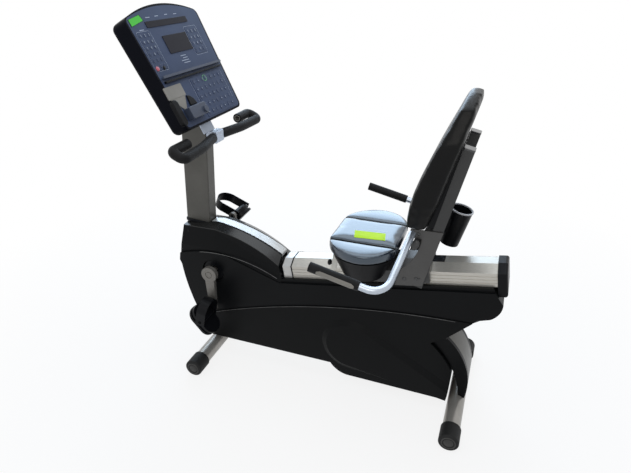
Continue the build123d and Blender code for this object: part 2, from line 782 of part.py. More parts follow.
def keypad(columns, rows, pitch, key):
    """Membrane pad with a grid of round keys."""
    columns, rows, margin = round(columns), round(rows), 4.0
    pad = raised(columns * pitch + margin, rows * pitch + margin, PAD_THICK, margin)
    for column in range(columns):
        for row in range(rows):
            x = (column - (columns - 1) / 2) * pitch
            y = (row - (rows - 1) / 2) * pitch
            pad += Pos(x, y, PAD_THICK / 2) * extrude(Circle(key / 2), amount=PAD_THICK / 2 + KEY_RISE)
    return pad


def holder():
    """Clip-on plate at the left of the face."""
    return raised(HOLDER_WIDTH, HOLDER_HEIGHT, HOLDER_THICK, 4)


def pouch():
    """Oval pouch under the holder, round at both ends."""
    body = extrude(RectangleRounded(POUCH_WIDTH, POUCH_HEIGHT, POUCH_WIDTH / 2 - 0.5), amount=POUCH_THICK)
    return fillet(body.faces().sort_by(Axis.Z)[-1].edges(), POUCH_THICK / 3)


def clip_box():
    """Small box with a round knob on its lower right corner."""
    body = raised(BOX_WIDTH, BOX_HEIGHT, BOX_THICK, 5)
    body = fillet(body.faces().sort_by(Axis.Z)[-1].edges(), 2)
    x, y = BOX_WIDTH / 2 - KNOB_R - 6, -BOX_HEIGHT / 2 + KNOB_R + 4
    return body + Pos(x, y, BOX_THICK - 1) * extrude(Circle(KNOB_R), amount=KNOB_RISE + 1)


def ledge():
    """Shelf with a turned-down lip across the face."""
    side = Plane(origin=(-LEDGE_HALF, 0, 0), x_dir=(0, 0, 1), z_dir=(1, 0, 0))
    inner = LEDGE_DEPTH - LEDGE_SHEET
    outline = [(0, 0), (LEDGE_DEPTH, 0), (LEDGE_DEPTH, -LEDGE_LIP), (inner, -LEDGE_LIP), (inner, -LEDGE_SHEET), (0, -LEDGE_SHEET)]
    return extrude(side * make_face(Polyline(*outline, close=True)), amount=2 * LEDGE_HALF)


def console_bracket():
    """Plate that bolts the housing to the slanted top of the post."""
    plate = Box(BRACKET_WIDTH, BRACKET_HEIGHT, BRACKET_THICK, align=(Align.CENTER, Align.MIN, Align.MAX))
    return console_frame() * Pos(0, BRACKET_LOW, -CONSOLE_MOUNT_DEPTH - FIT / 2) * plate


keep("console_bracket", console_bracket())
keep("console_housing", console_housing())
face_plate = console_face()
for y, height_share, columns, rows, pitch, key in KEYPADS:
    face_plate += on_face(y, height_share * CONSOLE_HEIGHT, keypad(columns, rows, pitch, key))
keep("console_face", face_plate)
keep("console_ledge", on_face(0, LEDGE_H, ledge()))
keep("console_display", on_face(0, DISPLAY_H, raised(DISPLAY_WIDTH, DISPLAY_HEIGHT, GLASS_THICK, 3)))
keep("console_readout", on_face(0, READOUT_H, raised(READOUT_WIDTH, READOUT_HEIGHT, GLASS_THICK, 3)))
keep("accessory_plate", on_face(HOLDER_Y, HOLDER_H, holder()))
keep("accessory_pouch", on_face(POUCH_Y, POUCH_H, pouch()))
keep("accessory_box", on_face(BOX_Y, BOX_H, clip_box()))


# ------------------------------------------------------------- front handlebar
def bar_points(side):
    """Right or left half of the bar, from its middle to the end of the return."""
    elbow_x = BAR_X + BAR_SWEEP
    tip_x = elbow_x + BAR_TIP_SWEEP
    return [
        (BAR_X, 0, BAR_Z),
        (elbow_x, side * BAR_ELBOW_Y, BAR_Z),
        (tip_x, side * BAR_REACH, BAR_Z),
        (tip_x - BAR_BACK, side * BAR_REACH, BAR_Z + BAR_LIFT),
        (tip_x - BAR_BACK, side * BAR_RETURN_Y, BAR_Z + BAR_LIFT),
    ]


def front_bar(outer, wall=None):
    """Whole bar along its bent path, solid or hollow."""
    left, right = bar_points(-1), bar_points(1)
    points = left[:0:-1] + right
    half = [BAR_BEND_R, BAR_BEND_R, BAR_ELBOW_R]
    return tube(points, half + [BAR_MIDDLE_R] + half[::-1], outer, wall)


def handlebar():
    return front_bar(BAR_R, BAR_WALL)


def bar_grip(side):
    points = bar_points(side)
    direction = (Vector(points[1]) - Vector(points[0])).normalized()
    start = Vector(points[0]) + direction * BAR_GRIP_START
    bends = [BAR_ELBOW_R, BAR_BEND_R, BAR_BEND_R]
    return tube([tuple(start)] + points[1:], bends, BAR_R + BAR_GRIP_WALL, BAR_GRIP_WALL - FIT)


def bar_clamp():
    """Block on the post that holds the middle of the bar."""
    block = Box(CLAMP_DEPTH, CLAMP_WIDTH, CLAMP_HEIGHT)
    block = Pos(BAR_X, 0, BAR_Z) * fillet(block.edges().filter_by(Axis.Y), BAR_R / 2)
    return block - front_bar(BAR_R + FIT) - post_solid(FIT) - console_bracket_space()


def console_bracket_space():
    """Room above the bracket's plate, with the console that stands on it."""
    plate = Box(CONSOLE_HALF_TOP, CONSOLE_HEIGHT, CONSOLE_DEPTH, align=(Align.CENTER, Align.MIN, Align.MIN))
    return console_frame() * Pos(0, BRACKET_LOW - FIT, -MOUNT) * plate


keep("handlebar", handlebar())
keep("bar_clamp", bar_clamp())
for side_name, side in SIDES.items():
    keep(f"bar_grip_{side_name}", bar_grip(side))


# ------------------------------------------------------------ crank and pedals
def crank_axle():
    half = CRANK_Y - CRANK_THICK / 2
    return Plane(origin=(CRANK_X, -half, CRANK_Z), z_dir=(0, 1, 0)) * extrude(Circle(AXLE_R), amount=2 * half)


def crank_arm(side):
    """Forged arm: round hub with its bolt, tapering web and an eye for the pedal's spindle."""
    out = side
    hub = Cylinder(CRANK_HUB_R, CRANK_THICK)
    hub -= Pos(0, 0, CRANK_THICK / 2 * out) * Cylinder(CRANK_BOLT_R + 3, 6)
    hub += Pos(0, 0, (CRANK_THICK / 2 - 3) * out) * Cylinder(CRANK_BOLT_R, 4)
    end = Pos(0, CRANK_LENGTH, 0) * Cylinder(CRANK_END_R, CRANK_THICK - 2)
    web = make_hull((Circle(CRANK_HUB_R - 12).edges() + (Pos(0, CRANK_LENGTH) * Circle(CRANK_END_R - 1)).edges()))
    web = Pos(0, 0, -CRANK_THICK / 2 + 2) * extrude(web, amount=CRANK_THICK - 4)
    arm = hub + end + (web - Cylinder(CRANK_HUB_R - 1, CRANK_THICK))
    arm -= Pos(0, CRANK_LENGTH, 0) * Cylinder(PEDAL_SPINDLE_R + RUN, 60)
    frame = Plane(origin=(CRANK_X, side * CRANK_Y, CRANK_Z), x_dir=(-1, 0, 0), z_dir=(0, 1, 0))
    return frame * Rot(0, 0, 0 if side > 0 else 180) * arm


def pedal_z(side):
    return CRANK_Z + side * CRANK_LENGTH


def pedal_y(side):
    return side * (CRANK_Y + CRANK_THICK / 2 + PEDAL_GAP + PEDAL_WIDTH / 2)


def spindle_frame(side, tilt):
    """Frame at the spindle's middle: X to the toe, Y along the spindle, Z tilted off upright."""
    angle = math.radians(tilt)
    toe, tread = (-math.cos(angle), 0, math.sin(angle)), (math.sin(angle), 0, math.cos(angle))
    return Plane(origin=(CRANK_X, pedal_y(side), pedal_z(side)), x_dir=toe, z_dir=tread)


def tread_plate(side, grow=0.0):
    """Oval tread under the spindle, waisted round its middle."""
    tilt, ahead, _, _ = PEDAL_STANCE[side]
    oval = RectangleRounded(PEDAL_LENGTH + 2 * grow, PEDAL_WIDTH + 2 * grow, PEDAL_CORNER)
    height = PEDAL_THICK + 2 * grow
    plate = extrude(oval, amount=height)
    if not grow:
        waist = extrude(oval - offset(oval, -PEDAL_WAIST), amount=height / 3)
        plate -= Pos(0, 0, height / 3) * waist
    low = -PEDAL_DROP - height / 2
    return spindle_frame(SIDES[side], tilt) * Pos(ahead, 0, low) * plate


def pedal(side):
    """Tread plate on a boss that turns with its spindle."""
    tilt = PEDAL_STANCE[side][0]
    boss = Rot(90, 0, 0) * Cylinder(PEDAL_SPINDLE_R + 6, PEDAL_WIDTH - 8)
    sign = SIDES[side]
    inner = sign * (CRANK_Y - CRANK_THICK / 2 + 1)
    plane = Plane(origin=(CRANK_X, inner, pedal_z(sign)), z_dir=(0, sign, 0))
    spindle = extrude(plane * Circle(PEDAL_SPINDLE_R), amount=CRANK_THICK + PEDAL_GAP)
    return tread_plate(side) + spindle_frame(sign, tilt) * boss + spindle


def strap_outline(grow, height):
    """Arch over the foot, seen along the foot."""
    half, high = PEDAL_WIDTH / 2 + FIT + grow, height + grow
    low = -PEDAL_DROP
    sides = Polyline((-half, high / 2), (-half, low), (half, low), (half, high / 2))
    arch = ThreePointArc((half, high / 2), (0, high), (-half, high / 2))
    return make_face(sides.edges() + arch.edges())


def pedal_strap(side):
    """Strap from one side of the tread plate to the other."""
    _, _, tilt, height = PEDAL_STANCE[side]
    band = strap_outline(STRAP_THICK, height) - strap_outline(0, height)
    plane = Plane(origin=(-STRAP_WIDTH / 2, 0, 0), x_dir=(0, 1, 0), z_dir=(1, 0, 0))
    strap = extrude(plane * band, amount=STRAP_WIDTH)
    below = Pos(0, 0, -PEDAL_DROP) * Box(PEDAL_LENGTH, PEDAL_WIDTH + 2 * FIT, PEDAL_DROP)
    hole = Rot(90, 0, 0) * Cylinder(PEDAL_SPINDLE_R + FIT, 2 * PEDAL_WIDTH)
    return spindle_frame(SIDES[side], tilt) * (strap - below - hole) - tread_plate(side, FIT)


def crank_boss(side):
    """Ring round the axle in the shroud's recess."""
    plane = Plane(origin=(CRANK_X, RECESS_Y + FIT, CRANK_Z), z_dir=(0, 1, 0))
    ring = extrude(plane * (Circle(BOSS_R) - Circle(BOSS_BORE_R)), amount=CRANK_RECESS_DEPTH / 2)
    return mirrored(ring, side)


keep("crank_axle", crank_axle())
for side_name, side in SIDES.items():
    keep(f"crank_arm_{side_name}", crank_arm(side))
    keep(f"crank_boss_{side_name}", crank_boss(side))
    keep(f"pedal_{side_name}", pedal(side_name))
    keep(f"pedal_strap_{side_name}", pedal_strap(side_name))


# ------------------------------------------------------------------------ seat
def upright_x(z, across=0.0):
    """X of the uprights' rear face at height z, or across millimetres before it."""
    lean = math.radians(UPRIGHT_LEAN)
    return UPRIGHT_FOOT_X + (z - UPRIGHT_FOOT_Z) * math.tan(lean) - across / math.cos(lean)


def upright(side):
    """Square tube from the seat plate's foot to its capped top."""
    lean = math.radians(UPRIGHT_LEAN)
    foot = Plane(origin=(upright_x(UPRIGHT_FOOT_Z, UPRIGHT_SIZE / 2), side * UPRIGHT_Y, UPRIGHT_FOOT_Z),
                 x_dir=(math.cos(lean), 0, -math.sin(lean)), z_dir=(math.sin(lean), 0, math.cos(lean)))
    ring = Rectangle(UPRIGHT_SIZE, UPRIGHT_SIZE)
    ring -= Rectangle(UPRIGHT_SIZE - 2 * UPRIGHT_WALL, UPRIGHT_SIZE - 2 * UPRIGHT_WALL)
    cap = extrude(foot * Pos(0, 0, UPRIGHT_LENGTH) * RectangleRounded(UPRIGHT_SIZE, UPRIGHT_SIZE, 3), amount=5)
    return extrude(foot * ring, amount=UPRIGHT_LENGTH) + cap


def seat_plate(side):
    """Bracket sheet outside each upright, down to the rail's lower edge."""
    outline = [
        (306, rail_z(306, RAIL_HEIGHT - 24)),
        (UPRIGHT_FOOT_X, rail_z(UPRIGHT_FOOT_X, RAIL_HEIGHT - 24)),
        (upright_x(798), 798),
        (352, 798),
        (334, 690),
    ]
    y = side * (UPRIGHT_Y + UPRIGHT_SIZE / 2 + FIT)
    return side_plate(outline, y, y + side * SEAT_PLATE_THICK)


CARRIAGE_WING = UPRIGHT_Y - UPRIGHT_SIZE / 2 - FIT - RAIL_HALF_WIDTH


def carriage_space():
    """Room under the seat for the carriage and the rail."""
    return rail_prism(CARRIAGE_WING + FIT, 0, RAIL_LENGTH, -200.0)


def carriage():
    """Saddle that slides on the rail's shoulders."""
    start = (CARRIAGE_X0 - RAIL_X) / math.cos(math.radians(RAIL_SLOPE))
    length = (CARRIAGE_X1 - CARRIAGE_X0) / math.cos(math.radians(RAIL_SLOPE))
    outer = rail_prism(CARRIAGE_WING, start, length, -CARRIAGE_SKIRT)
    return outer - rail_prism(SLIDE_GAP, start - 10, length + 20, -1.5 * CARRIAGE_SKIRT)


def cushion_outline(inset):
    """Plan of the seat: narrow front, full sides, narrow rear."""
    front, rear = CUSHION_FRONT_X + inset, CUSHION_REAR_X - inset
    half = CUSHION_HALF - inset
    nose, tail = CUSHION_NOSE_HALF - inset / 2, CUSHION_TAIL_HALF - inset / 2
    belly = (front + rear) / 2 + 22
    face = make_face(
        Line((front, -nose), (front, nose)).edges()
        + ThreePointArc((front, nose), ((front + belly) / 2 - 22, half * 0.86), (belly, half)).edges()
        + ThreePointArc((belly, half), ((rear + belly) / 2 + 14, half * 0.84), (rear, tail)).edges()
        + Line((rear, tail), (rear, -tail)).edges()
        + ThreePointArc((rear, -tail), ((rear + belly) / 2 + 14, -half * 0.84), (belly, -half)).edges()
        + ThreePointArc((belly, -half), ((front + belly) / 2 - 22, -half * 0.86), (front, -nose)).edges()
    )
    return fillet(face.vertices(), 30)


def cushion():
    low = CUSHION_TOP_Z - CUSHION_THICK
    body = extrude(Pos(0, 0, low) * cushion_outline(0), amount=CUSHION_THICK)
    return fillet(body.faces().sort_by(Axis.Z)[-1].edges(), CUSHION_ROUND)


def seat_pan():
    """Plastic shell under the cushion, open over the rail."""
    top = CUSHION_TOP_Z - CUSHION_THICK - FIT
    shell = loft([Pos(0, 0, top) * cushion_outline(14), Pos(0, 0, top - PAN_DEPTH) * cushion_outline(56)])
    return shell - carriage_space()


BACK_FRONT = [(342, 752), (353, 905), (424, 1100), (492, 1256)]
BACK_REAR = [(530, 1254), (484, 1090), (428, 890), (388, 745)]


def back_view(inset, low, high):
    """Outline of the back rest as its user sees it, arched at the top."""
    half, shoulder = BACK_HALF - inset, BACK_SHOULDER - inset
    edge = high - BACK_SHOULDER_DROP
    corners = [(-BACK_LOW_HALF + inset, low), (-half, BACK_WAIST_Z), (-half, BACK_CHEST_Z), (-shoulder, edge)]
    left = Polyline(*[(0, y, z) for y, z in corners])
    right = Polyline(*[(0, -y, z) for y, z in corners[::-1]])
    arch = ThreePointArc((0, -shoulder, edge), (0, 0, high), (0, shoulder, edge))
    base = Line((0, BACK_LOW_HALF - inset, low), (0, -BACK_LOW_HALF + inset, low))
    face = make_face(left.edges() + arch.edges() + right.edges() + base.edges())
    return extrude(face, amount=900, dir=(1, 0, 0))


def back_pad():
    """Contoured back rest with an arched top."""
    front = Spline(*[at(x, z) for x, z in BACK_FRONT])
    rear = Spline(*[at(x, z) for x, z in BACK_REAR])
    profile = face_of(front, Line(front @ 1, rear @ 0), rear, Line(rear @ 1, front @ 0))
    return slab(profile, -400, 400) & back_view(0, BACK_LOW_Z, BACK_TOP_Z)


def back_board():
    """Mounting board between the back rest and the uprights."""
    rear = Spline(*[at(x, z) for x, z in BACK_REAR])
    low, high = BACK_LOW_Z + 8, UPRIGHT_TOP_Z
    outline = side_plate([
        (330, low),
        (upright_x(low, UPRIGHT_SIZE) - FIT, low),
        (upright_x(high, UPRIGHT_SIZE) - FIT, high),
        (330, high),
    ], -BOARD_HALF, BOARD_HALF)
    pad = slab(face_of(rear, Polyline(rear @ 1, at(200, 745), at(200, 1254), rear @ 0)), -400, 400)
    return outline - Pos(FIT, 0, 0) * pad


def side_handle(side):
    """Silver tube from the seat plate, out and forward to the grip."""
    y = side * (UPRIGHT_Y + UPRIGHT_SIZE / 2 - 10)
    root = (HANDLE_ROOT[0], y, HANDLE_ROOT[1])
    corner, front = grip_line(side)
    bar = tube([root, tuple(corner), tuple(front + (corner - front).normalized() * 8)], [SEAT_BAR_BEND_R], SEAT_BAR_R, BAR_WALL)
    inside = UPRIGHT_Y + UPRIGHT_SIZE / 2 + SEAT_PLATE_THICK + 2 * FIT
    return bar - Pos(0, side * (inside - 100), 700) * Box(900, 200, 900)


def grip_line(side):
    """Corner of the side handle and the front end of its grip."""
    return [Vector(x, side * GRIP_Y, z) for x, z in (HANDLE_CORNER, GRIP_FRONT)]


def side_grip(side):
    corner, end = grip_line(side)
    start = end + (corner - end).normalized() * GRIP_LENGTH
    return tube([tuple(start), tuple(end)], None, GRIP_R, GRIP_R - SEAT_BAR_R - FIT)


def bottle_holder():
    """Tapered cup with the bracket that screws it to the far seat plate."""
    narrow = BOTTLE_R * BOTTLE_TAPER
    inside = Pos(0, 0, BOTTLE_WALL) * Cone(narrow - BOTTLE_WALL, BOTTLE_R - BOTTLE_WALL, BOTTLE_DEPTH)
    cup = Cone(narrow, BOTTLE_R, BOTTLE_DEPTH) - inside
    place = Pos(BOTTLE_X, BOTTLE_Y, BOTTLE_TOP_Z) * Rot(0, UPRIGHT_LEAN, 0) * Pos(0, 0, -BOTTLE_DEPTH / 2)
    inner = UPRIGHT_Y + UPRIGHT_SIZE / 2 + SEAT_PLATE_THICK + 2 * FIT
    plate = (BOTTLE_X - BOTTLE_PLATE_X, BOTTLE_PLATE_THICK, BOTTLE_PLATE_HEIGHT)
    bracket = Box(*plate, align=(Align.MIN, Align.MIN, Align.CENTER))
    bracket = Pos(BOTTLE_PLATE_X, inner, BOTTLE_TOP_Z - BOTTLE_PLATE_HEIGHT) * bracket
    return place * cup + (bracket - place * inside)


keep("carriage", carriage())
keep("cushion", cushion())
keep("seat_pan", seat_pan())
keep("back_pad", back_pad())
keep("back_board", back_board())
keep("bottle_holder", bottle_holder())
for side_name, side in SIDES.items():
    keep(f"upright_{side_name}", upright(side))
    keep(f"seat_plate_{side_name}", seat_plate(side))
    keep(f"side_handle_{side_name}", side_handle(side))
    keep(f"side_grip_{side_name}", side_grip(side))

for name, shape in made.items():
    export_step(shape, f"parts/{name}.step")
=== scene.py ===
"""Looks of the recumbent exercise bike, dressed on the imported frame, in metres."""

import json
import math

import bmesh
import bpy
from mathutils import Matrix, Vector
from mathutils.bvhtree import BVHTree

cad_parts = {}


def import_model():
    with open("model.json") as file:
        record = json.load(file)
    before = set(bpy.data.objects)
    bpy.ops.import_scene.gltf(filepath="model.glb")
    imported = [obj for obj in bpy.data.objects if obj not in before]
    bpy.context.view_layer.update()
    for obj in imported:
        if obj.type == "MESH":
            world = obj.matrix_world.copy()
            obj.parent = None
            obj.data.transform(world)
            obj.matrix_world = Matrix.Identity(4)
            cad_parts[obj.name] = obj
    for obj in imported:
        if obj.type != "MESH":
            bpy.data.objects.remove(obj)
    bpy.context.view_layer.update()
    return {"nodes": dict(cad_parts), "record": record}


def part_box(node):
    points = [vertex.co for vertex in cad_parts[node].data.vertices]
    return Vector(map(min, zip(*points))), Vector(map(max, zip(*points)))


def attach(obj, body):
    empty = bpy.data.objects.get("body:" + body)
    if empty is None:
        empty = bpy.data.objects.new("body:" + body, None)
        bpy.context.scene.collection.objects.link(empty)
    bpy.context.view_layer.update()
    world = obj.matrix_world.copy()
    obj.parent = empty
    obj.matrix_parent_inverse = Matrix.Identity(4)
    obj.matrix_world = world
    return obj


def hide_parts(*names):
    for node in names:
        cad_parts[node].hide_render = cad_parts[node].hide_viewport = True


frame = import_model()
NODES = frame["nodes"]
SIDES = {"left": -1, "right": 1}

# places shared with the solids, in metres and radians
ORIGIN_X = -0.00226
CONSOLE_X = -0.4494 - ORIGIN_X
CONSOLE_Z = 1.0994
CONSOLE_TILT = math.radians(26.6)
RAIL_SLOPE = math.radians(8.8)
UPRIGHT_LEAN = math.radians(13.2)

# the front end of the rail's top face, in the drawing's millimetres
RAIL_X, RAIL_Z = -132.0, 541.5


# -------- materials
TINT_STOPS = (0.3, 0.7)  # where a noise is darkest and lightest
EDGE_RADIUS = 0.0012
GRAIN_SCALE, GRAIN_DEPTH = 900.0, 0.0004
ROUGH_SPREAD = 0.06
SMEAR_SCALE = 4.3  # smears against the blotches of the colour
PLASTIC_COAT_ROUGH, VINYL_COAT_ROUGH = 0.15, 0.18
SCUFF_LIGHTER = 2.2
PEBBLE_SCALE, PORE_SCALE = 620.0, 900.0


def nodes_of(name):
    """New material with its tree, shader and object coordinates."""
    made = bpy.data.materials.new(name)
    made.use_nodes = True
    tree = made.node_tree
    shader = tree.nodes["Principled BSDF"]
    coords = tree.nodes.new("ShaderNodeTexCoord")
    return made, tree, shader, coords.outputs["Object"]


def scaled(tree, vector, scale, rotation=(0, 0, 0)):
    """Coordinates stretched and turned."""
    mapping = tree.nodes.new("ShaderNodeMapping")
    mapping.inputs["Scale"].default_value = scale
    mapping.inputs["Rotation"].default_value = rotation
    tree.links.new(vector, mapping.inputs["Vector"])
    return mapping.outputs["Vector"]


def noise(tree, vector, scale, detail=3.0, rough=0.55):
    """Cloudy noise from 0 to 1."""
    texture = tree.nodes.new("ShaderNodeTexNoise")
    texture.inputs["Scale"].default_value = scale
    texture.inputs["Detail"].default_value = detail
    texture.inputs["Roughness"].default_value = rough
    tree.links.new(vector, texture.inputs["Vector"])
    return texture.outputs["Fac"]


def cells(tree, vector, scale, feature="F1"):
    """Distance to the middle of the nearest cell, for pebbles and pores."""
    texture = tree.nodes.new("ShaderNodeTexVoronoi")
    texture.feature = feature
    texture.inputs["Scale"].default_value = scale
    tree.links.new(vector, texture.inputs["Vector"])
    return texture.outputs["Distance"]


def ramp(tree, value, stops):
    """Colour ramp from two (position, colour) stops."""
    node = tree.nodes.new("ShaderNodeValToRGB")
    for element, (position, colour) in zip(node.color_ramp.elements, stops):
        element.position = position
        element.color = (*colour, 1.0)
    tree.links.new(value, node.inputs["Fac"])
    return node.outputs["Color"]


def times(colour, factor):
    """A colour made lighter or darker."""
    return tuple(min(1.0, channel * factor) for channel in colour)


def tinted(tree, value, colour, dark, light, stops=TINT_STOPS):
    """The colour between a darker and a lighter share of itself."""
    return ramp(tree, value, list(zip(stops, (times(colour, dark), times(colour, light)))))


def spread(tree, value, low, high):
    """A value from 0 to 1 laid out between low and high."""
    node = tree.nodes.new("ShaderNodeMapRange")
    node.inputs["To Min"].default_value = low
    node.inputs["To Max"].default_value = high
    tree.links.new(value, node.inputs["Value"])
    return node.outputs["Result"]


def bump(tree, height, strength, distance, normal=None):
    """Relief of a height, on top of another normal."""
    node = tree.nodes.new("ShaderNodeBump")
    node.inputs["Strength"].default_value = strength
    node.inputs["Distance"].default_value = distance
    tree.links.new(height, node.inputs["Height"])
    if normal is not None:
        tree.links.new(normal, node.inputs["Normal"])
    return node.outputs["Normal"]


def soft_edges(tree, radius):
    """Normal that rounds the sharp edges."""
    node = tree.nodes.new("ShaderNodeBevel")
    node.samples = 4
    node.inputs["Radius"].default_value = radius
    return node.outputs["Normal"]


def surface(name, colour, rough, metal=0.0, coat=0.0, mottle=0.12, blotch=9.0, grain=0.15,
            edge=EDGE_RADIUS, gloss=0.5, scuff=0.0):
    """General finish: mottled colour, uneven gloss, fine grain, eased edges and faint scuffs."""
    made, tree, shader, place = nodes_of(name)
    tint = tinted(tree, noise(tree, place, blotch, 4.0), colour, 1 - mottle, 1 + mottle)
    if scuff:
        tint = scuffed(tree, place, tint, colour, scuff)
    tree.links.new(tint, shader.inputs["Base Color"])
    shader.inputs["Metallic"].default_value = metal
    shader.inputs["Specular IOR Level"].default_value = gloss
    shader.inputs["Coat Weight"].default_value = coat
    shader.inputs["Coat Roughness"].default_value = PLASTIC_COAT_ROUGH
    smear = noise(tree, place, blotch * SMEAR_SCALE, 5.0, 0.65)
    uneven = spread(tree, smear, rough - ROUGH_SPREAD, rough + ROUGH_SPREAD)
    tree.links.new(uneven, shader.inputs["Roughness"])
    eased = soft_edges(tree, edge) if edge else None
    fine = noise(tree, place, GRAIN_SCALE, 2.0)
    tree.links.new(bump(tree, fine, grain, GRAIN_DEPTH, eased), shader.inputs["Normal"])
    return made


def scuffed(tree, place, tint, colour, amount):
    """Faint long scuffs, a little lighter than the finish."""
    lines = noise(tree, scaled(tree, place, (9.0, 9.0, 130.0), (0.3, 0.2, 0.0)), 1.0, 3.0, 0.7)
    mask = ramp(tree, lines, [(0.66, (0, 0, 0)), (0.74, (amount, amount, amount))])
    mix = tree.nodes.new("ShaderNodeMix")
    mix.data_type = "RGBA"
    mix.inputs["B"].default_value = (*times(colour, SCUFF_LIGHTER), 1.0)
    tree.links.new(mask, mix.inputs["Factor"])
    tree.links.new(tint, mix.inputs["A"])
    return mix.outputs["Result"]


def brushed(name, colour, rough):
    """Extruded metal with fine lines along the rail."""
    made, tree, shader, place = nodes_of(name)
    along = scaled(tree, place, (1.5, 500.0, 500.0), (0, RAIL_SLOPE, 0))
    lines = noise(tree, along, 1.0, 4.0, 0.6)
    blotch = noise(tree, place, 7.0, 3.0)
    tree.links.new(tinted(tree, lines, colour, 0.86, 1.08), shader.inputs["Base Color"])
    shader.inputs["Metallic"].default_value = 0.55
    uneven = spread(tree, blotch, rough - 0.07, rough + 0.08)
    tree.links.new(uneven, shader.inputs["Roughness"])
    relief = bump(tree, lines, 0.12, 0.0003, soft_edges(tree, 0.001))
    tree.links.new(relief, shader.inputs["Normal"])
    return made


def foam(name, colour):
    """Closed-cell foam with open pores."""
    made, tree, shader, place = nodes_of(name)
    pores = cells(tree, place, PORE_SCALE)
    large = noise(tree, place, 30.0, 3.0)
    tint = tinted(tree, large, colour, 0.75, 1.35, (0.3, 0.75))
    tree.links.new(tint, shader.inputs["Base Color"])
    shader.inputs["Roughness"].default_value = 0.62
    shader.inputs["Specular IOR Level"].default_value = 0.14
    shader.inputs["Sheen Weight"].default_value = 0.03
    tree.links.new(bump(tree, pores, 0.35, 0.0006), shader.inputs["Normal"])
    return made


def vinyl(name, colour, rough, coat, gloss, painted_sky_tint=(1.0, 1.0, 1.0)):
    """Upholstery vinyl: pebbled grain, soft creases and worn gloss."""
    made, tree, shader, place = nodes_of(name)
    pebbles = cells(tree, place, PEBBLE_SCALE, "SMOOTH_F1")
    creases = noise(tree, scaled(tree, place, (1.0, 2.2, 1.0)), 16.0, 5.0, 0.6)
    large = noise(tree, place, 6.0, 3.0)
    tree.links.new(tinted(tree, large, colour, 0.8, 1.25), shader.inputs["Base Color"])
    uneven = spread(tree, creases, rough - 0.06, rough + 0.1)
    tree.links.new(uneven, shader.inputs["Roughness"])
    shader.inputs["Specular IOR Level"].default_value = gloss
    # reflections tinted by painted_sky_tint: a painted sky colour
    shader.inputs["Specular Tint"].default_value = (*painted_sky_tint, 1.0)
    shader.inputs["Coat Weight"].default_value = coat
    shader.inputs["Coat Roughness"].default_value = VINYL_COAT_ROUGH
    coarse = bump(tree, creases, 0.12, 0.004)
    tree.links.new(bump(tree, pebbles, 0.16, 0.0005, coarse), shader.inputs["Normal"])
    return made


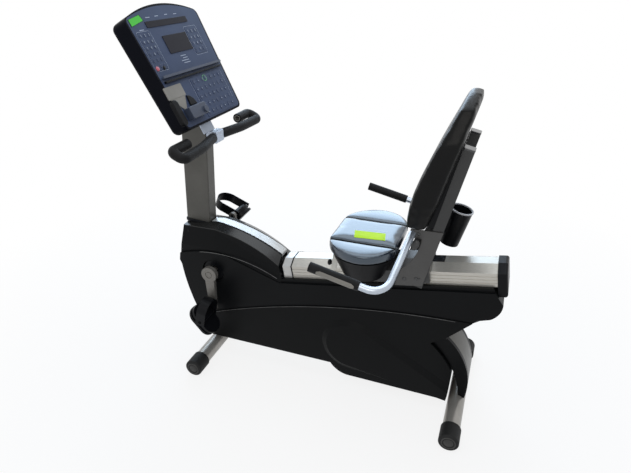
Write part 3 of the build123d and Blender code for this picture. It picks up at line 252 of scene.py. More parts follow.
# each finish: its maker, its colour and its other looks
RECIPES = {
    "silver_paint": (surface, (0.36, 0.34, 0.31), dict(rough=0.32, metal=0.4, grain=0.05)),
    "foot_rubber": (surface, (0.016, 0.016, 0.016),
                    dict(rough=0.6, grain=0.25, mottle=0.2, gloss=0.18)),
    "frame_paint": (surface, (0.062, 0.062, 0.063),
                    dict(rough=0.42, metal=0.2, grain=0.12, gloss=0.35)),
    "post_paint": (surface, (0.085, 0.082, 0.074),
                   dict(rough=0.36, metal=0.45, grain=0.08, gloss=0.4)),
    "shroud_plastic": (surface, (0.0042, 0.0046, 0.0052),
                       dict(rough=0.36, grain=0.2, blotch=5.0, gloss=0.088, scuff=0.3)),
    "casing_plastic": (surface, (0.0038, 0.0042, 0.0046),
                       dict(rough=0.4, grain=0.2, blotch=5.0, gloss=0.086, scuff=0.3)),
    "cover_plastic": (surface, (0.55, 0.545, 0.53), dict(rough=0.3, metal=0.3, grain=0.06)),
    "rail_metal": (brushed, (0.52, 0.5, 0.455), dict(rough=0.32)),
    "black_plastic": (surface, (0.0042, 0.0046, 0.0058), dict(rough=0.36, grain=0.2, gloss=0.12)),
    "housing_plastic": (surface, (0.0018, 0.0024, 0.0055),
                        dict(rough=0.4, grain=0.2, gloss=0.05)),
    "face_plastic": (surface, (0.044, 0.062, 0.118),
                     dict(rough=0.42, grain=0.08, mottle=0.08, gloss=0.16)),
    "ledge_plastic": (surface, (0.05, 0.062, 0.095), dict(rough=0.36, grain=0.08, gloss=0.35)),
    "display_glass": (surface, (0.015, 0.015, 0.022),
                      dict(rough=0.2, coat=0.04, grain=0.0, gloss=0.12)),
    "bracket_metal": (surface, (0.5, 0.56, 0.66), dict(rough=0.3, metal=0.3, grain=0.05)),
    "taupe_plastic": (surface, (0.23, 0.215, 0.19), dict(rough=0.42, grain=0.1, gloss=0.4)),
    "crank_metal": (surface, (0.17, 0.16, 0.145), dict(rough=0.4, metal=0.4, grain=0.15)),
    "grip_foam": (foam, (0.008, 0.008, 0.0085), {}),
    # seat vinyl's reflections tinted blue: a painted sky reflection
    "seat_vinyl": (vinyl, (0.008, 0.011, 0.02),
                   dict(rough=0.2, coat=0.5, gloss=0.95, painted_sky_tint=(0.66, 0.84, 1.0))),
    "back_vinyl": (vinyl, (0.004, 0.004, 0.0042), dict(rough=0.34, coat=0.05, gloss=0.11)),
    "shoulder_gloss": (surface, (0.008, 0.0085, 0.009),
                       dict(rough=0.24, grain=0.1, blotch=5.0, gloss=0.45)),
    "collar_black": (surface, (0.006, 0.007, 0.01), dict(rough=0.45, gloss=0.2)),
    "upright_paint": (surface, (0.042, 0.042, 0.042),
                      dict(rough=0.4, metal=0.15, grain=0.1, gloss=0.35)),
    "handle_silver": (surface, (0.48, 0.53, 0.6), dict(rough=0.26, metal=0.65, grain=0.04)),
    "bracket_grey": (surface, (0.072, 0.07, 0.068),
                     dict(rough=0.4, metal=0.2, grain=0.12, gloss=0.4)),
    "cap_gloss": (surface, (0.02, 0.022, 0.026), dict(rough=0.14, coat=0.6, grain=0.05)),
    "seam_black": (surface, (0.004, 0.004, 0.004), dict(rough=0.6, grain=0.2, gloss=0.08)),
    # lighter grey of the strips along the crease and the casing seam: a painted highlight where
    # the ledges catch the light
    "worn_edge": (surface, (0.11, 0.107, 0.104),
                  dict(rough=0.35, grain=0.2, mottle=0.6, blotch=24.0, edge=0.0)),
    "mark_print": (surface, (0.4, 0.45, 0.55), dict(rough=0.5, grain=0.0, edge=0.0)),
    "key_print": (surface, (0.075, 0.09, 0.14), dict(rough=0.5, grain=0.0, edge=0.0)),
    "red_key": (surface, (0.5, 0.1, 0.14), dict(rough=0.4, grain=0.05)),
    "green_print": (surface, (0.1, 0.3, 0.16), dict(rough=0.45, grain=0.05, edge=0.0)),
    "green_sticker": (surface, (0.06, 0.5, 0.03),
                      dict(rough=0.5, grain=0.1, edge=0.0, gloss=0.3)),
    "yellow_sticker": (surface, (0.5, 0.78, 0.0),
                       dict(rough=0.6, grain=0.1, edge=0.0, gloss=0.3)),
    "lever_grey": (surface, (0.045, 0.045, 0.045), dict(rough=0.4, grain=0.2, gloss=0.4)),
    "cream_plastic": (surface, (0.66, 0.64, 0.58), dict(rough=0.4, grain=0.1, gloss=0.4)),
    # light grey of the bottle holder's rim: a painted highlight on its black rim
    "lip_grey": (surface, (0.5, 0.5, 0.52), dict(rough=0.3, grain=0.1)),
    "cap_grey": (surface, (0.04, 0.039, 0.037), dict(rough=0.5, grain=0.2, gloss=0.3)),
}
MATERIALS = {name: make(name, colour, **looks) for name, (make, colour, looks) in RECIPES.items()}

# solids whose finish isn't the one of their slot
FINISHES = {
    "shoulder_left": "shoulder_gloss",
    "shoulder_right": "shoulder_gloss",
    "post_collar": "collar_black",
    "upright_left": "upright_paint",
    "upright_right": "upright_paint",
    "accessory_plate": "taupe_plastic",
    "console_housing": "housing_plastic",
    "side_handle_left": "handle_silver",
    "side_handle_right": "handle_silver",
}
for subpart in frame["record"]["subparts"]:
    finish = FINISHES.get(subpart["node"], subpart["material_slot"])
    NODES[subpart["node"]].material_slots[0].material = MATERIALS[finish]


# -------- frames of places
def datum(x, y, z):
    """Point from the drawing's millimetres, as part.py has them, to the scene's metres."""
    return Vector((x / 1000 - ORIGIN_X, y / 1000, z / 1000))


def millimetres(points):
    """Flat points given in millimetres, in metres."""
    return [(x / 1000, y / 1000) for x, y in points]


def frame_at(origin, across, along):
    """Placement whose local x, y, z are across, along and what is square to both."""
    across, along = Vector(across).normalized(), Vector(along).normalized()
    out = across.cross(along)
    made = Matrix((across, along, out)).transposed().to_4x4()
    made.translation = origin
    return made


FACE = Matrix((
    (0.0, -math.sin(CONSOLE_TILT), math.cos(CONSOLE_TILT), CONSOLE_X),
    (1.0, 0.0, 0.0, 0.0),
    (0.0, math.cos(CONSOLE_TILT), math.sin(CONSOLE_TILT), CONSOLE_Z),
    (0.0, 0.0, 0.0, 1.0),
))


def on_console(y, h, out=0.0):
    """Placement on the console's face, y across, h up and out of it, in millimetres."""
    return FACE @ Matrix.Translation((y / 1000, h / 1000, out / 1000))


RAIL_START = datum(RAIL_X, 0.0, RAIL_Z)
RAIL_ALONG = Vector((math.cos(RAIL_SLOPE), 0.0, math.sin(RAIL_SLOPE)))
RAIL_UP = Vector((-math.sin(RAIL_SLOPE), 0.0, math.cos(RAIL_SLOPE)))


def on_rail(along, across, up):
    """Point of the rail's frame, in millimetres along, across and above its top face."""
    offset = RAIL_ALONG * along + Vector((0, 1, 0)) * across + RAIL_UP * up
    return RAIL_START + offset / 1000


UPRIGHT_UP = Vector((math.sin(UPRIGHT_LEAN), 0, math.cos(UPRIGHT_LEAN)))
UPRIGHT_REAR = (math.cos(UPRIGHT_LEAN), 0, -math.sin(UPRIGHT_LEAN))


def facing(x, y, z, side):
    """Placement on a wall that faces a side, its z outwards, from a point in millimetres."""
    return frame_at(datum(x, side * y, z), (1, 0, 0), (0, 0, -side))


# -------- outlines
def rounded(width, height, radius, steps=5):
    """Outline of a rectangle with round corners, centred."""
    points = []
    for sx, sy, start in ((1, 1, 0), (-1, 1, 90), (-1, -1, 180), (1, -1, 270)):
        for step in range(steps + 1):
            turn = math.radians(start + 90 * step / steps)
            points.append((sx * (width / 2 - radius) + radius * math.cos(turn),
                           sy * (height / 2 - radius) + radius * math.sin(turn)))
    return points


def arc3(a, b, c, steps):
    """Points along the circle arc through a, b and c."""
    (ax, ay), (bx, by), (cx, cy) = a, b, c
    aa, bb, cc = ax**2 + ay**2, bx**2 + by**2, cx**2 + cy**2
    d = 2 * (ax * (by - cy) + bx * (cy - ay) + cx * (ay - by))
    ux = (aa * (by - cy) + bb * (cy - ay) + cc * (ay - by)) / d
    uy = (aa * (cx - bx) + bb * (ax - cx) + cc * (bx - ax)) / d
    radius = math.hypot(ax - ux, ay - uy)
    first = math.atan2(ay - uy, ax - ux)
    turn = (math.atan2(cy - uy, cx - ux) - first) % math.tau
    if (math.atan2(by - uy, bx - ux) - first) % math.tau > turn:
        turn -= math.tau
    angles = [first + turn * i / steps for i in range(steps + 1)]
    return [(ux + radius * math.cos(angle), uy + radius * math.sin(angle)) for angle in angles]


def mirrored(half):
    """Outline from its half at negative x."""
    return half + [(-x, y) for x, y in half[::-1]]


def clipped(points, side, limit):
    """Part of an outline whose y is above (side 1) or below (side -1) the limit."""
    kept = []
    for (x0, y0), (x1, y1) in zip(points, points[1:] + points[:1]):
        inside0, inside1 = side * (y0 - limit) >= 0, side * (y1 - limit) >= 0
        if inside0:
            kept.append((x0, y0))
        if inside0 != inside1:
            part = (limit - y0) / (y1 - y0)
            kept.append((x0 + (x1 - x0) * part, limit))
    return kept


# -------- forms, each made in a bmesh
LATHE_STEPS = 28
BUTTON_HEIGHT = 0.0035  # of round keys and bolt heads


def prism(points, low, high, place=Matrix.Identity(4)):
    """Closed prism of a flat outline between two heights."""
    def build(work):
        bottom = [work.verts.new(place @ Vector((x, y, low))) for x, y in points]
        top = [work.verts.new(place @ Vector((x, y, high))) for x, y in points]
        work.faces.new(bottom[::-1])
        work.faces.new(top)
        bridge(work, bottom, top)
    return build


def bridge(work, first, second):
    """Band of faces between two closed loops of the same length."""
    for i in range(len(first)):
        j = (i + 1) % len(first)
        work.faces.new((first[i], first[j], second[j], second[i]))


def lathe(profile, place):
    """Turned form from (radius, height) points; the first and last lie on the axis."""
    angles = [math.tau * i / LATHE_STEPS for i in range(LATHE_STEPS)]

    def build(work):
        rings = []
        for radius, height in profile:
            turns = angles if radius else angles[:1]
            rings.append([work.verts.new(place @ Vector((radius * math.cos(angle),
                                                         radius * math.sin(angle), height)))
                          for angle in turns])
        for low, high in zip(rings, rings[1:]):
            for i in range(LATHE_STEPS):
                j = (i + 1) % LATHE_STEPS
                corners = [low[i % len(low)], low[j % len(low)],
                           high[j % len(high)], high[i % len(high)]]
                face = list(dict.fromkeys(corners))
                if len(face) > 2:
                    work.faces.new(face)
    return build


def button(radius, points):
    """Profile of a round button or bolt head from (share of its radius, height) points."""
    return [(0, BUTTON_HEIGHT), *((radius * share, height) for share, height in points), (0, 0.0)]


def swept(sections):
    """Closed bar through equal section loops."""
    def build(work):
        rows = [[work.verts.new(point) for point in section] for section in sections]
        for first, second in zip(rows, rows[1:]):
            bridge(work, first, second)
        work.faces.new(rows[0][::-1])
        work.faces.new(rows[-1])
    return build


def ring(outer, inner, low, high, place, steps=20):
    """Flat ring on a face."""
    angles = [math.tau * i / steps for i in range(steps)]

    def build(work):
        corners = ((outer, low), (outer, high), (inner, high), (inner, low))
        loops = [[work.verts.new(place @ Vector((r * math.cos(angle), r * math.sin(angle), z)))
                  for angle in angles] for r, z in corners]
        for k in range(4):
            bridge(work, loops[k], loops[(k + 1) % 4])
    return build


def together(builds):
    """Several forms in one piece."""
    def build(work):
        for one in builds:
            one(work)
    return build


# -------- pieces
def add(name, mesh, body, slot, material=None, smooth=True):
    """Puts a mesh in the scene, riding on a body."""
    piece = bpy.data.objects.new(name, mesh)
    bpy.context.scene.collection.objects.link(piece)
    mesh.materials.clear()
    mesh.materials.append(MATERIALS[material or slot])
    if smooth:
        for polygon in mesh.polygons:
            polygon.use_smooth = True
    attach(piece, body)
    return piece


def mesh_from(build, name="mesh"):
    """Mesh of what build() makes in a bmesh."""
    work = bmesh.new()
    build(work)
    bmesh.ops.recalc_face_normals(work, faces=work.faces)
    mesh = bpy.data.meshes.new(name)
    work.to_mesh(mesh)
    work.free()
    return mesh


def detail(name, build, body, slot, material=None, bevel=0.0, smooth=False):
    """Rigid piece made in a bmesh, with eased edges."""
    piece = add(name, mesh_from(build, name), body, slot, material, smooth)
    if bevel:
        ease = piece.modifiers.new("ease", "BEVEL")
        ease.width = bevel
        ease.segments = 2
        ease.limit_method = "ANGLE"
        ease.angle_limit = math.radians(40)
    return piece


# -------- soft parts
VOXEL = 0.005
SWELL_FRAMES = 20
CLOTH_QUALITY, CLOTH_MASS, CLOTH_STRETCH, CLOTH_BEND = 5, 0.3, 15, 12.0
SMOOTHING = 0.5


def puffed(mesh, pressure, cap, pinned=None):
    """Remeshes a closed form, blows it up as cloth and caps how far a point moves."""
    scene = bpy.context.scene
    piece = bpy.data.objects.new("puff", mesh)
    scene.collection.objects.link(piece)
    bpy.context.view_layer.objects.active = piece
    remesh = piece.modifiers.new("remesh", "REMESH")
    remesh.mode = "VOXEL"
    remesh.voxel_size = VOXEL
    depsgraph = bpy.context.evaluated_depsgraph_get()
    solid = bpy.data.meshes.new_from_object(piece.evaluated_get(depsgraph))
    bpy.data.objects.remove(piece)
    start = [vertex.co.copy() for vertex in solid.vertices]
    piece = bpy.data.objects.new("puff", solid)
    scene.collection.objects.link(piece)
    cloth = piece.modifiers.new("cloth", "CLOTH")
    settings = cloth.settings
    settings.quality = CLOTH_QUALITY
    settings.mass = CLOTH_MASS
    settings.tension_stiffness = CLOTH_STRETCH
    settings.compression_stiffness = CLOTH_STRETCH
    settings.bending_stiffness = CLOTH_BEND
    settings.use_pressure = True
    settings.uniform_pressure_force = pressure
    settings.effector_weights.gravity = 0.0
    cloth.collision_settings.use_collision = False
    if pinned:
        group = piece.vertex_groups.new(name="pin")
        group.add([i for i, point in enumerate(start) if pinned(point)], 1.0, "REPLACE")
        settings.vertex_group_mass = "pin"
    for number in range(1, SWELL_FRAMES + 1):
        scene.frame_set(number)
    depsgraph = bpy.context.evaluated_depsgraph_get()
    shaped = bpy.data.meshes.new_from_object(piece.evaluated_get(depsgraph))
    bpy.data.objects.remove(piece)
    scene.frame_set(1)
    for vertex, origin in zip(shaped.vertices, start):
        move = vertex.co - origin
        if move.length > cap:
            vertex.co = origin + move.normalized() * cap
    return shaped


def smoothed(piece, repeat):
    """Smooths and subdivides a finished soft piece."""
    smooth = piece.modifiers.new("smooth", "SMOOTH")
    smooth.factor = SMOOTHING
    smooth.iterations = repeat
    subdivide = piece.modifiers.new("subdivide", "SUBSURF")
    subdivide.levels = 1
    subdivide.render_levels = 1


# the seat's cushion: heights, seams across it and the main points of its outline
CUSHION_LOW, CUSHION_TOP = 0.667, 0.704
CUSHION_INSET = 0.007
CUSHION_PIN = 0.003
SEAM_NEAR, SEAM_FAR, SEAM_WIDTH = -0.102, 0.094, 0.007
CUSHION_FRONT, CUSHION_REAR, CUSHION_HALF = 0.038, 0.312, 0.214
CUSHION_NOSE, CUSHION_TAIL, CUSHION_WIDEST_X = 0.092, 0.104, 0.197
AHEAD_X, AHEAD_SHARE = 0.0955, 0.86
BEHIND_X, BEHIND_SHARE = 0.2685, 0.84
CUSHION_PRESSURE, CUSHION_SWELL, CUSHION_SMOOTH = 3.0, 0.0065, 16
BACK_PRESSURE, BACK_SWELL, BACK_SMOOTH, BACK_SHARE = 1.6, 0.006, 20, 0.985


def cushion_outline(inset):
    """Outline of the cushion from above, taken in by the inset."""
    front, rear, half = CUSHION_FRONT + inset, CUSHION_REAR - inset, CUSHION_HALF - inset
    nose, tail = CUSHION_NOSE - inset / 2, CUSHION_TAIL - inset / 2
    widest = (CUSHION_WIDEST_X, half)
    ahead = arc3((front, nose), (AHEAD_X + inset / 2, half * AHEAD_SHARE), widest, 12)
    behind = arc3(widest, (BEHIND_X - inset / 2, half * BEHIND_SHARE), (rear, tail), 12)
    upper = ahead + behind[1:]
    lower = [(x, -y) for x, y in upper[::-1]]
    return [(x - ORIGIN_X, y) for x, y in upper + lower]


def cushion_panel(name, low, high):
    """One soft panel of the cushion, between the seams at low and high."""
    outline = cushion_outline(CUSHION_INSET)
    if low is not None:
        outline = clipped(outline, 1, low + SEAM_WIDTH / 2)
    if high is not None:
        outline = clipped(outline, -1, high - SEAM_WIDTH / 2)
    mesh = mesh_from(prism(outline, CUSHION_LOW, CUSHION_TOP))
    mesh = puffed(mesh, CUSHION_PRESSURE, CUSHION_SWELL,
                  pinned=lambda point: point.z < CUSHION_LOW + CUSHION_PIN)
    panel = add(name, mesh, "seat", "seat_vinyl")
    smoothed(panel, CUSHION_SMOOTH)
    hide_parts("cushion")


def back_rest():
    """Back rest puffed from its solid, a little smaller so that it swells to size."""
    source = NODES["back_pad"].data.copy()
    middle = sum((vertex.co for vertex in source.vertices), Vector()) / len(source.vertices)
    for vertex in source.vertices:
        vertex.co = middle + (vertex.co - middle) * BACK_SHARE
    piece = add("back_rest", puffed(source, BACK_PRESSURE, BACK_SWELL), "seat", "seat_vinyl",
                "back_vinyl")
    smoothed(piece, BACK_SMOOTH)
    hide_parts("back_pad")


# -------- console
KEYPADS = {
    # y, h, columns, rows, pitch, key diameter, in millimetres on the console's face
    "left": (-160.0, 282.0, 3, 6, 22.0, 13.0),
    "right": (119.0, 288.0, 3, 4, 24.0, 14.0),
    "low": (62.0, 82.0, 7, 5, 30.0, 16.0),
}
KEY_TOP = 0.0022
PRINT = 0.0002  # how far print stands on a key
PRINT_ON_FACE = 0.0003
RING_OUTSIDE, RING_INSIDE = 0.0004, 0.0013  # of a key's ring, in from the key's edge

# y, h and length of the printed lines, in millimetres
LINES = ((-8, 244, 34), (-2, 235, 30), (-8, 226, 46), (-3, 217, 40), (-160, 356.5, 24),
         (-96, 396, 24), (-44, 397, 20), (14, 398, 18), (70, 396, 20), (142, 34, 18),
         (142, 27, 12))
LINE_WIDTH, LINE_RADIUS = 0.0022, 0.0009
MARK_LONG, MARK_SHORT, MARK_WIDTH, MARK_RADIUS = 0.0030, 0.0012, 0.0016, 0.0007

# y, h, width and height of the printed fields round the keys, in millimetres
FIELDS = ((-160, 281, 74, 142), (119, 288, 84, 112), (62, 98, 226, 116))
FIELD_RADIUS, FIELD_LINE = 0.008, 0.0008

# name, y, h in millimetres, radius, finish
ROUND_KEYS = (
    ("stop_key", -186, 221, 0.0085, "red_key"),
    ("side_key", -150, 219, 0.0075, "black_plastic"),
    ("start_key", 46, 144, 0.0085, "face_plastic"),
)
KEY_PROFILE = ((0.7, BUTTON_HEIGHT), (0.95, 0.0028), (1, 0.0015), (1, 0.0))
# of the green ring: its place in millimetres; outer and inner radius, bottom and top in metres
START_PLACE, START_RING = (46, 144), (0.0125, 0.0098, 0.0, 0.0025)
DIGIT_SIZES = {"left": 0.011, "right": 0.013}
STICKER = [(-201, 396), (-136, 408), (-128, 387), (-200, 372)]
# name, share of the sticker's size, bottom, top, finish
STICKER_LAYERS = (
    ("sticker_edge", 1.07, 0.0, 0.0006, "black_plastic"),
    ("sticker_green", 0.97, 0.0006, 0.0009, "green_sticker"),
)
# dark strip under the ledge's lip: a painted shadow
SHADE_UNDER_LEDGE = [(-189, 166), (189, 168), (189, 173), (-189, 173)]
CARD = [(-210, 112), (-157, 62), (-146, 62), (-117, 110), (-117, 113), (-210, 113)]
WEDGE = [(-119, 69), (-76, 68), (-84, 88), (-100, 103), (-114, 107)]
SHADE_UNDER_LEDGE_TOP, CARD_TOP, WEDGE_TOP = 0.0095, 0.0022, 0.006


def key_places(pad):
    """Row, column, y and h of each key of a keypad."""
    y, h, columns, rows, pitch, _ = pad
    for row in range(rows):
        for column in range(columns):
            yield (row, column, y + (column - (columns - 1) / 2) * pitch,
                   h - (row - (rows - 1) / 2) * pitch)


def key_rings():
    """Printed ring round each key."""
    rings = []
    for pad in KEYPADS.values():
        outer = pad[-1] / 2000
        for _, _, y, h in key_places(pad):
            rings.append(ring(outer - RING_OUTSIDE, outer - RING_INSIDE, KEY_TOP - PRINT,
                              KEY_TOP + PRINT, on_console(y, h)))
    return together(rings)


def field_frame(y, h, width, height):
    """Flat printed line round a field of keys."""
    line = 2 * FIELD_LINE
    outline = rounded(width / 1000, height / 1000, FIELD_RADIUS)
    inner = rounded(width / 1000 - line, height / 1000 - line, FIELD_RADIUS - FIELD_LINE)
    place = on_console(y, h)

    def build(work):
        loops = [[work.verts.new(place @ Vector((a, b, PRINT_ON_FACE))) for a, b in loop]
                 for loop in (outline, inner)]
        bridge(work, *loops)
    return build


def key_marks():
    """Generic bars and dots on the low keys, lines on the face and frames of the fields."""
    marks = []
    for row, column, y, h in key_places(KEYPADS["low"]):
        half = MARK_LONG if (row + column) % 3 else MARK_SHORT
        marks.append(prism(rounded(2 * half, MARK_WIDTH, MARK_RADIUS, 2), KEY_TOP,
                           KEY_TOP + PRINT, on_console(y, h)))
    for y, h, length in LINES:
        marks.append(prism(rounded(length / 1000, LINE_WIDTH, LINE_RADIUS, 2), 0.0,
                           PRINT_ON_FACE, on_console(y, h)))
    return together(marks + [field_frame(*field) for field in FIELDS])


def digits(name, pad, size):
    """Plain numerals on a keypad, 1 to 9 and 0."""
    labels = {(row, column): str(row * 3 + column + 1) for row in range(3) for column in range(3)}
    labels[3, 1] = "0"
    work = bmesh.new()
    for row, column, y, h in key_places(pad):
        if (row, column) not in labels:
            continue
        curve = bpy.data.curves.new("digit", "FONT")
        curve.body = labels[row, column]
        curve.size = size
        curve.align_x = "CENTER"
        curve.align_y = "CENTER"
        curve.extrude = PRINT / 2
        curve.resolution_u = 2
        holder = bpy.data.objects.new("digit", curve)
        bpy.context.scene.collection.objects.link(holder)
        bpy.context.view_layer.update()
        depsgraph = bpy.context.evaluated_depsgraph_get()
        mesh = bpy.data.meshes.new_from_object(holder.evaluated_get(depsgraph))
        mesh.transform(on_console(y, h, (KEY_TOP + PRINT) * 1000))
        work.from_mesh(mesh)
        bpy.data.objects.remove(holder)
        bpy.data.meshes.remove(mesh)
    joined = bpy.data.meshes.new(name)
    work.to_mesh(joined)
    work.free()
    add(name, joined, "frame", "bracket_metal", "mark_print", smooth=False)


def console_details():
    """Keys, print, blank sticker, the flat trim of the console and a dark strip painted as the
    shadow under its ledge.
    """
    detail("key_rings", key_rings(), "frame", "ledge_plastic", "key_print")
    detail("console_marks", key_marks(), "frame", "bracket_metal", "mark_print")
    for side_name, size in DIGIT_SIZES.items():
        digits(f"digits_{side_name}", KEYPADS[side_name], size)
    for name, y, h, radius, finish in ROUND_KEYS:
        detail(name, lathe(button(radius, KEY_PROFILE), on_console(y, h)), "frame",
               "face_plastic", finish, smooth=True)
    detail("start_ring", ring(*START_RING, on_console(*START_PLACE), 32), "frame",
           "face_plastic", "green_print")
    middle = Vector((sum(y for y, h in STICKER) / 4, sum(h for y, h in STICKER) / 4))
    for name, grow, low, high, finish in STICKER_LAYERS:
        corners = [tuple((middle + (Vector(corner) - middle) * grow) / 1000)
                   for corner in STICKER]
        detail(name, prism(corners, low, high, FACE), "frame", "face_plastic", finish)
    # dark strip under the ledge's lip, a painted shadow
    detail("ledge_channel", prism(millimetres(SHADE_UNDER_LEDGE), 0.0, SHADE_UNDER_LEDGE_TOP, FACE), "frame",
           "black_plastic")
    detail("accessory_card", prism(millimetres(CARD), 0.0, CARD_TOP, FACE), "frame",
           "bracket_metal", "taupe_plastic", bevel=0.0005)
    detail("pocket_wedge", prism(millimetres(WEDGE), 0.0, WEDGE_TOP, FACE), "frame",
           "black_plastic", bevel=0.0015)


# -------- shroud and rail
# x, z and share of the rise of the shroud's top edge, and where it starts, in millimetres
TOP_EDGE = ((-622, 632, 0.05), (-470, 632, 0.5), (-332, 595, 0.6), (-186, 511, 1.0))
TOP_EDGE_START = -508.0
COVER_RISE, SHOULDER_RISE = 34.0, 30.2
COVER_Y, SHOULDER_Y = 24.8, 30.5
SEAM_ON_COVER, SEAM_ON_SHOULDER, SEAM_DEPTH = 3.9, 3.6, 1.5
BEAD_CHAMFER = 0.15  # of a bead's width

CREASE = arc3((-664, 498), (-450, 534), (-185, 466), 48)[12:]
CASING_SEAM = [(x, z - 3.0) for x, z in arc3((-582, 200), (-100, 352), (598, 432), 60)[3:58]]
# strips on the crease and the casing seam, lighter as a painted highlight
CREASE_BEAD = (88.0, 2.6, 0.5)  # y, width and thickness
CASING_BEAD = (92.0, 1.7, 0.4)
PLUGS = ((-599, 69.5, 611), (-172, 77.5, 484))
PLUG_PROFILE = [(0, 0.0012), (0.0035, 0.0012), (0.0055, 0.0006), (0.006, -0.002), (0, -0.002)]

# across and above the rail's top face, and along it, in millimetres
GASKET_OUTER = mirrored([(-67.2, -72.6), (-67.2, -19.4), (-26.2, 1.0)])
GASKET_INNER = mirrored([(-65.5, -72.6), (-65.5, -20.6), (-25.0, -0.8)])
GASKET_ENDS = (-3.2, 1.6)


def shoulder_curve(rise):
    """(x, z) along the shroud's top edge, lifted by the share of rise that each point takes."""
    a, b, c, d = ((x, z + share * rise) for x, z, share in TOP_EDGE)
    start = a[1] + (b[1] - a[1]) * (TOP_EDGE_START - a[0]) / (b[0] - a[0])
    return [(TOP_EDGE_START, start)] + arc3(b, c, d, 26)


def cover_seam(side):
    """Soft black strip in the joint between the top cover and a shoulder."""
    return swept([[datum(x0, side * COVER_Y, z0 + SEAM_ON_COVER),
                   datum(x1, side * SHOULDER_Y, z1 + SEAM_ON_SHOULDER),
                   datum(x1, side * SHOULDER_Y, z1 + SEAM_DEPTH),
                   datum(x0, side * COVER_Y, z0 + SEAM_DEPTH)]
                  for (x0, z0), (x1, z1) in zip(shoulder_curve(COVER_RISE),
                                                shoulder_curve(SHOULDER_RISE))])


def highlight_bead(curve, side, y, width, thick):
    """Thin lighter strip along a curve of the side, standing on the plane y: a painted highlight
    on a ledge's edge.
    """
    face, proud = side * y, side * y + side * thick
    return swept([[datum(x, face, z), datum(x, proud, z - width * BEAD_CHAMFER),
                   datum(x, proud, z - width * (1 - BEAD_CHAMFER)), datum(x, face, z - width)]
                  for x, z in curve])


def shroud_details():
    """Seams, lighter strips painted as highlights on the ledges, and plugs of the shroud and the
    casing.
    """
    for side_name, side in SIDES.items():
        detail(f"cover_seam_{side_name}", cover_seam(side), "frame", "black_plastic")
        detail(f"crease_edge_{side_name}", highlight_bead(CREASE, side, *CREASE_BEAD),
               "frame", "shroud_plastic", "worn_edge")
        detail(f"seam_edge_{side_name}", highlight_bead(CASING_SEAM, side, *CASING_BEAD),
               "frame", "casing_plastic", "worn_edge")
        for number, (x, y, z) in enumerate(PLUGS):
            detail(f"shroud_plug_{number}_{side_name}", lathe(PLUG_PROFILE, facing(x, y, z, side)),
                   "frame", "black_plastic", smooth=True)


def rail_gasket(work):
    """Dark joint round the rail's front end."""
    loop = GASKET_OUTER + GASKET_INNER[::-1]
    rows = [[work.verts.new(on_rail(along, across, up)) for across, up in loop]
            for along in GASKET_ENDS]
    bridge(work, *rows)
    count = len(loop)
    for row in rows:
        for i in range(len(GASKET_OUTER) - 1):
            work.faces.new((row[i], row[i + 1], row[count - 2 - i], row[count - 1 - i]))


# -------- seat
# places in millimetres; profiles and the pieces' own sizes in metres
BRACKET_FACES = (119.2, 124.2)
BRACKET_FOOT = 48.6  # how far the bracket reaches down the rail's side
BRACKET_BOLTS = ((342, 594, 8), (385, 603, 7), (396, 605, 4), (380, 782, 7))  # x, z, radius
BOLT_PROFILE = ((0.45e-3, 0.0033), (0.8e-3, 0.0022), (1e-3, 0.0))  # takes the radius to metres
LEVER_PLACE = (374, -BRACKET_FACES[1], 746)
LEVER_TURN, LEVER_SQUEEZE = 0.35, 0.62
LEVER_PROFILE = [(0, 0.022), (0.014, 0.0215), (0.021, 0.018), (0.0225, 0.012), (0.018, 0.006),
                 (0.008, 0.004), (0.008, 0.0), (0, 0.0)]
KNOB_PROFILE = [(0, 0.016), (0.008, 0.0158), (0.0115, 0.013), (0.012, 0.008), (0.009, 0.004),
                (0.005, 0.0), (0, 0.0)]
FRONT_BRACKET_PLACE, FRONT_BRACKET_LEAN = (66, -88, 596), 0.18
FRONT_BRACKET_SIZE, FRONT_BRACKET_THICK = (0.022, 0.082, 0.006), 0.005  # with its radius
FRONT_KNOB_PLACE = (55, -90, 590)
TONGUE = ((-24, 0.4), (24, 0.4), (22, 3.2), (-22, 3.2))
TONGUE_ENDS = (556, 607)

GRIP_FRONT = (72, 372, 732)
GRIP_RUN = (253, 0, -60)
SENSOR_START, SENSOR_LENGTH = 0.030, 0.132
SENSOR_RADII = (0.0182, 0.0166)
SENSOR_TILT, SENSOR_STEP, SENSOR_TURNS = -4, 6.4, 5  # degrees and steps to either side
SENSOR_SECTIONS, SENSOR_ENDS, SENSOR_TAPER = 12, 0.45, 9  # its ends are narrower

UPRIGHT_FOOT = (408, 101, 566)
UPRIGHT_HALF = 18
UPRIGHT_LENGTH = 0.541
CAP_SIZE, CAP_RADIUS, CAP_LOW, CAP_HIGH = 0.0375, 0.004, -0.004, 0.003
CUP_PLACE, CUP_LIP = (494, 160, 770), (0.0462, 0.0408, -0.002, 0.0035)

FEET_X = {"front": -530.0, "rear": 580.0}
CAP_DISC_Z = 0.036
CAP_DISC_PROFILE = [(0, 0.0008), (0.018, 0.0008), (0.019, -0.0006), (0.0225, -0.0006),
                    (0.0235, 0.0016), (0.0275, 0.0014), (0.0285, -0.003), (0, -0.003)]

CORD_INSET, CORD_HALF, CORD_DEPTH = 0.012, 0.0028, 0.0035  # of the cord between the panels
STICKER_CORNERS = [(126, -29, 716), (243, -20, 716), (254, -74, 716), (138, -80, 716)]
STICKER_STEPS = 12
STICKER_LIFT = 0.0008
ABOVE_SEAT = 0.9


def bracket_outline():
    """Side bracket of the seat: a foot on the rail, a waist behind the handle and a lug for it."""
    def edge(x):
        return RAIL_Z + (x - RAIL_X) * math.tan(RAIL_SLOPE) - BRACKET_FOOT / math.cos(RAIL_SLOPE)
    waist = arc3((330, 636), (372, 690), (392, 764), 12)
    foot = [(308, edge(308)), (408, edge(408))]
    return foot + [(462.4, 798), (352, 798), (346, 764)] + waist[::-1]


